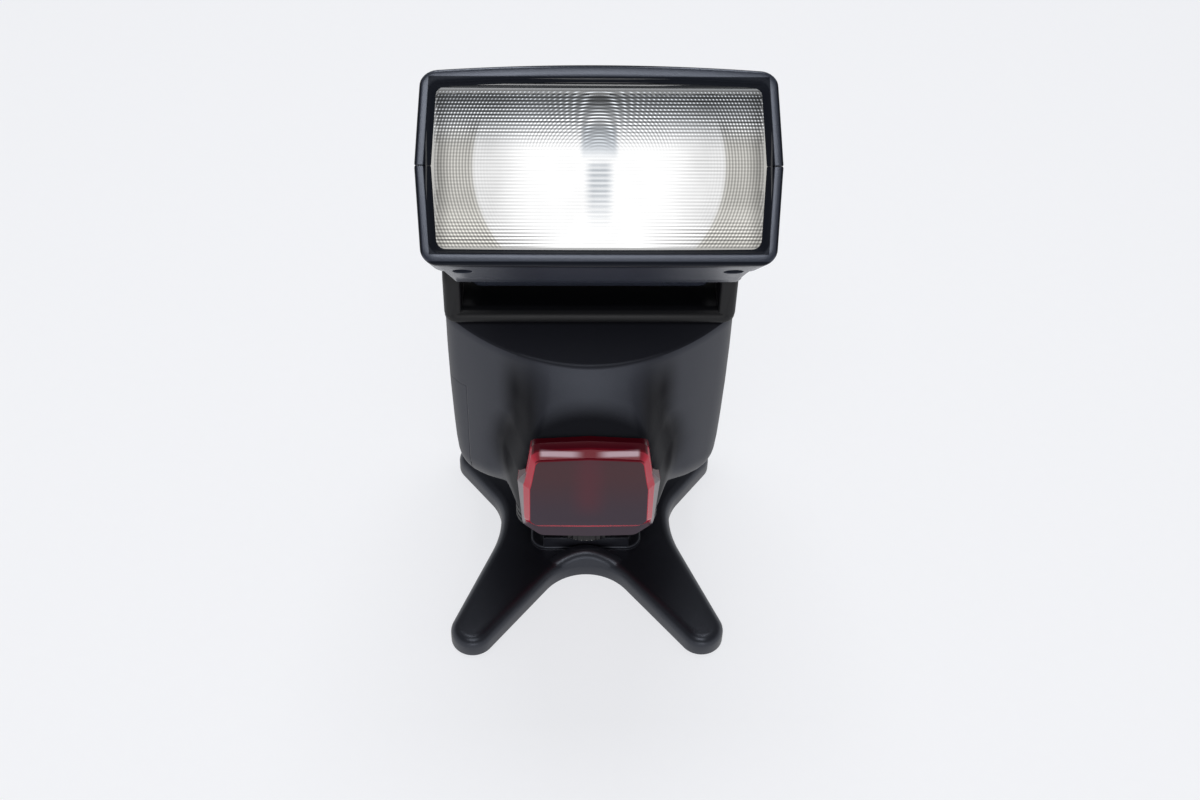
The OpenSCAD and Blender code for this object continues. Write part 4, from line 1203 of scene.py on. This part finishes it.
def stand_outline():
    front = leg_half(FRONT_TIP, FRONT_ARCH_Y)
    rear = leg_half(REAR_TIP, REAR_ARCH_Y)
    right = list(reversed(rear)) + front[1:]
    left = [(-x, y) for x, y in reversed(right)]
    return right + left[1:-1]


def build_stand():
    stand = new_object("mini_stand_moulding", prism(stand_outline(), 0, STAND_TOP, "z", 0.5, 2.6, SOFT))
    carve(stand, prism(rectangle(30, 23, 4), STAND_TOP - 1.5, 7.15, "z", 0, 0.5), "UNION")
    # Raised lip over the crown of the front arch, sinking into the legs at both ends
    rings = []
    for a in spread(140, 40, 21):
        rise = smooth(1 - abs(a - 90) / 46) * 2.9
        c, d = math.cos(math.radians(a)), math.sin(math.radians(a))
        profile = [(0.25, 3.0), (0.25, 3.2 + rise), (0.6, 4.2 + rise), (1.3, 5.1 + rise), (2.4, 5.6 + rise),
                   (3.9, 5.6 + rise), (5.6, 4.4), (5.6, 3.0)]
        centre_y = FRONT_ARCH_Y - HOLLOW_R
        rings.append([((HOLLOW_R + r) * c, centre_y + (HOLLOW_R + r) * d, h) for r, h in profile])
    carve(stand, loft(rings), "UNION")
    rail = box((9.4, -9.6, 5), (11.6, 9.6, 10.9))
    lip = box((6.4, -9.6, 9.35), (10.6, 9.6, 10.9))
    for solid in (rail, mirrored(rail), lip, mirrored(lip), box((-11.6, -11.3, 5), (11.6, -9.3, 10.9))):
        carve(stand, solid, "UNION")
    carve(stand, box((-5.6, -8.5, 6.6), (5.6, 14, 8)))
    carve(stand, rod(4.5, -1, 5.05, 40))
    carve(stand, rod(1.4, 5.45, 8, 24, "z", (0, PIN_Y, 0)))
    dress(stand, STAND_BLACK, "stand", ["mini_stand"], 32)


# ---------- studio ----------

FLOOR = 4000


def build_studio():
    corners = [(-FLOOR, -FLOOR, 0), (FLOOR, -FLOOR, 0), (FLOOR, FLOOR, 0), (-FLOOR, FLOOR, 0)]
    floor = new_object("studio_floor", (corners, [(0, 1, 2, 3)]))
    paper = Nodes("pale_paper")
    tooth = paper.noise(1 / (3 * MM), 4.0)
    tone = paper.mix(tooth, (0.30, 0.302, 0.31), (0.33, 0.332, 0.34))
    paper.set(Base_Color=tone, Roughness=0.75, Emission_Color=(0.96, 0.97, 1.0), Emission_Strength=0.70)
    floor.data.materials.append(paper.material)

    world = bpy.data.worlds.new("soft_room")
    bpy.context.scene.world = world
    world.use_nodes = True
    tree = world.node_tree
    sky = tree.nodes["Background"]
    sky.inputs["Color"].default_value = (0.95, 0.965, 1.0, 1.0)
    # Bright walls round the horizon under a dimmer ceiling
    ray = tree.nodes.new("ShaderNodeSeparateXYZ")
    fall = tree.nodes.new("ShaderNodeMapRange")
    fall.interpolation_type = "SMOOTHSTEP"
    for key, value in (("From Min", 0.12), ("From Max", 0.42), ("To Min", 0.80), ("To Max", 0.25)):
        fall.inputs[key].default_value = value
    tree.links.new(tree.nodes.new("ShaderNodeTexCoord").outputs["Generated"], ray.inputs[0])
    tree.links.new(ray.outputs["Z"], fall.inputs["Value"])
    tree.links.new(fall.outputs["Result"], sky.inputs["Strength"])

    def softbox(name, place, aim, size, power):
        light = bpy.data.lights.new(name, "AREA")
        light.shape = "RECTANGLE"
        light.size, light.size_y = size
        light.energy = power
        lamp = bpy.data.objects.new(name, light)
        lamp.location = place
        lamp.rotation_euler = (Vector(aim) - Vector(place)).to_track_quat("-Z", "Y").to_euler()
        bpy.context.scene.collection.objects.link(lamp)

    softbox("overhead", (0.0, 0.12, 0.85), (0, 0, 0.05), (0.34, 0.24), 2.0)
    softbox("front_soft", (-0.04, -0.59, 0.94), (0, 0, 0.15), (0.45, 0.2), 1.9)
    softbox("front_low", (0.0, -1.1, 0.12), (0, 0, 0.07), (0.6, 0.25), 1.1)

    lens = bpy.data.cameras.new("camera")
    lens.lens = 49.5
    lens.sensor_width = 36
    lens.clip_start = 0.01
    lens.shift_x = 0.0100
    lens.shift_y = 0.0014
    camera = bpy.data.objects.new("camera", lens)
    yaw, roll = math.radians(-1.8), math.radians(1.29)
    target = Vector((0, 0, 0.0528))
    offset = Matrix.Rotation(yaw, 3, "Z") @ Vector((0, -0.2940, 0.3088))
    camera.location = target + offset
    look = (-offset).to_track_quat("-Z", "Y").to_matrix() @ Matrix.Rotation(roll, 3, "Z")
    camera.rotation_euler = look.to_euler()
    bpy.context.scene.collection.objects.link(camera)
    bpy.context.scene.camera = camera
    bpy.context.scene.view_settings.view_transform = "Standard"


# ---------- looks of the CAD nodes that stay ----------

SLOT_LOOKS = {
    "stand_plastic": STAND_BLACK, "bush_brass": BRASS, "foot_metal": FOOT_METAL, "contact_gold": GOLD,
    "body_plastic": BODY_BLACK, "head_plastic": HEAD_BLACK, "black_plastic": PART_BLACK,
    "key_rubber": KEY_RUBBER, "key_grey": KEY_GREY, "test_key": LAMP_RED, "window_red": WINDOW_RED,
    "clear_lens": CLEAR, "lcd_cover": CLEAR,
    "lcd_glass": moulded("lcd_glass", (0.30, 0.34, 0.27), rough=0.2, grain=0.02),
    "diffuser_white": moulded("diffuser_white", (0.8, 0.8, 0.78), rough=0.5, grain=0.1),
    "circuit_board": moulded("circuit_board", (0.02, 0.16, 0.06), rough=0.35, grain=0.4, grain_size=1.2,
                             vary=0.4),
    "capacitor_sleeve": moulded("capacitor_sleeve", (0.02, 0.025, 0.08), rough=0.25, grain=0.1),
    "copper_winding": moulded("copper_winding", (0.6, 0.28, 0.1), rough=0.35, grain=0.8, grain_size=0.6,
                              metal=0.6),
    "cell_wrap": moulded("cell_wrap", (0.5, 0.36, 0.14), rough=0.25, grain=0.1, metal=0.5),
    "spring_steel": STEEL, "screw_black": SCREW_BLACK,
    "mirror_foil": moulded("mirror_foil", (0.85, 0.86, 0.88), rough=0.12, grain=0.1, metal=1.0),
    "xenon_glass": clear_plastic("xenon_glass", (0.9, 0.92, 0.95), 0.45),
    "wire_red": moulded("wire_sleeving", (0.45, 0.03, 0.03), rough=0.35, grain=0.15),
}


def dress_cad_nodes():
    for part in frame["record"]["subparts"]:
        mesh = NODES[part["node"]].data
        mesh.materials.clear()
        mesh.materials.append(SLOT_LOOKS[part["material_slot"]])
    # The hinge pin's end is blackened
    NODES["battery_cover_pin"].data.materials[0] = SCREW_BLACK


build_head()
build_lens()
build_bracket()
build_body()
build_window()
build_back()
build_foot()
build_lever()
build_stand()
dress_cad_nodes()
build_studio()
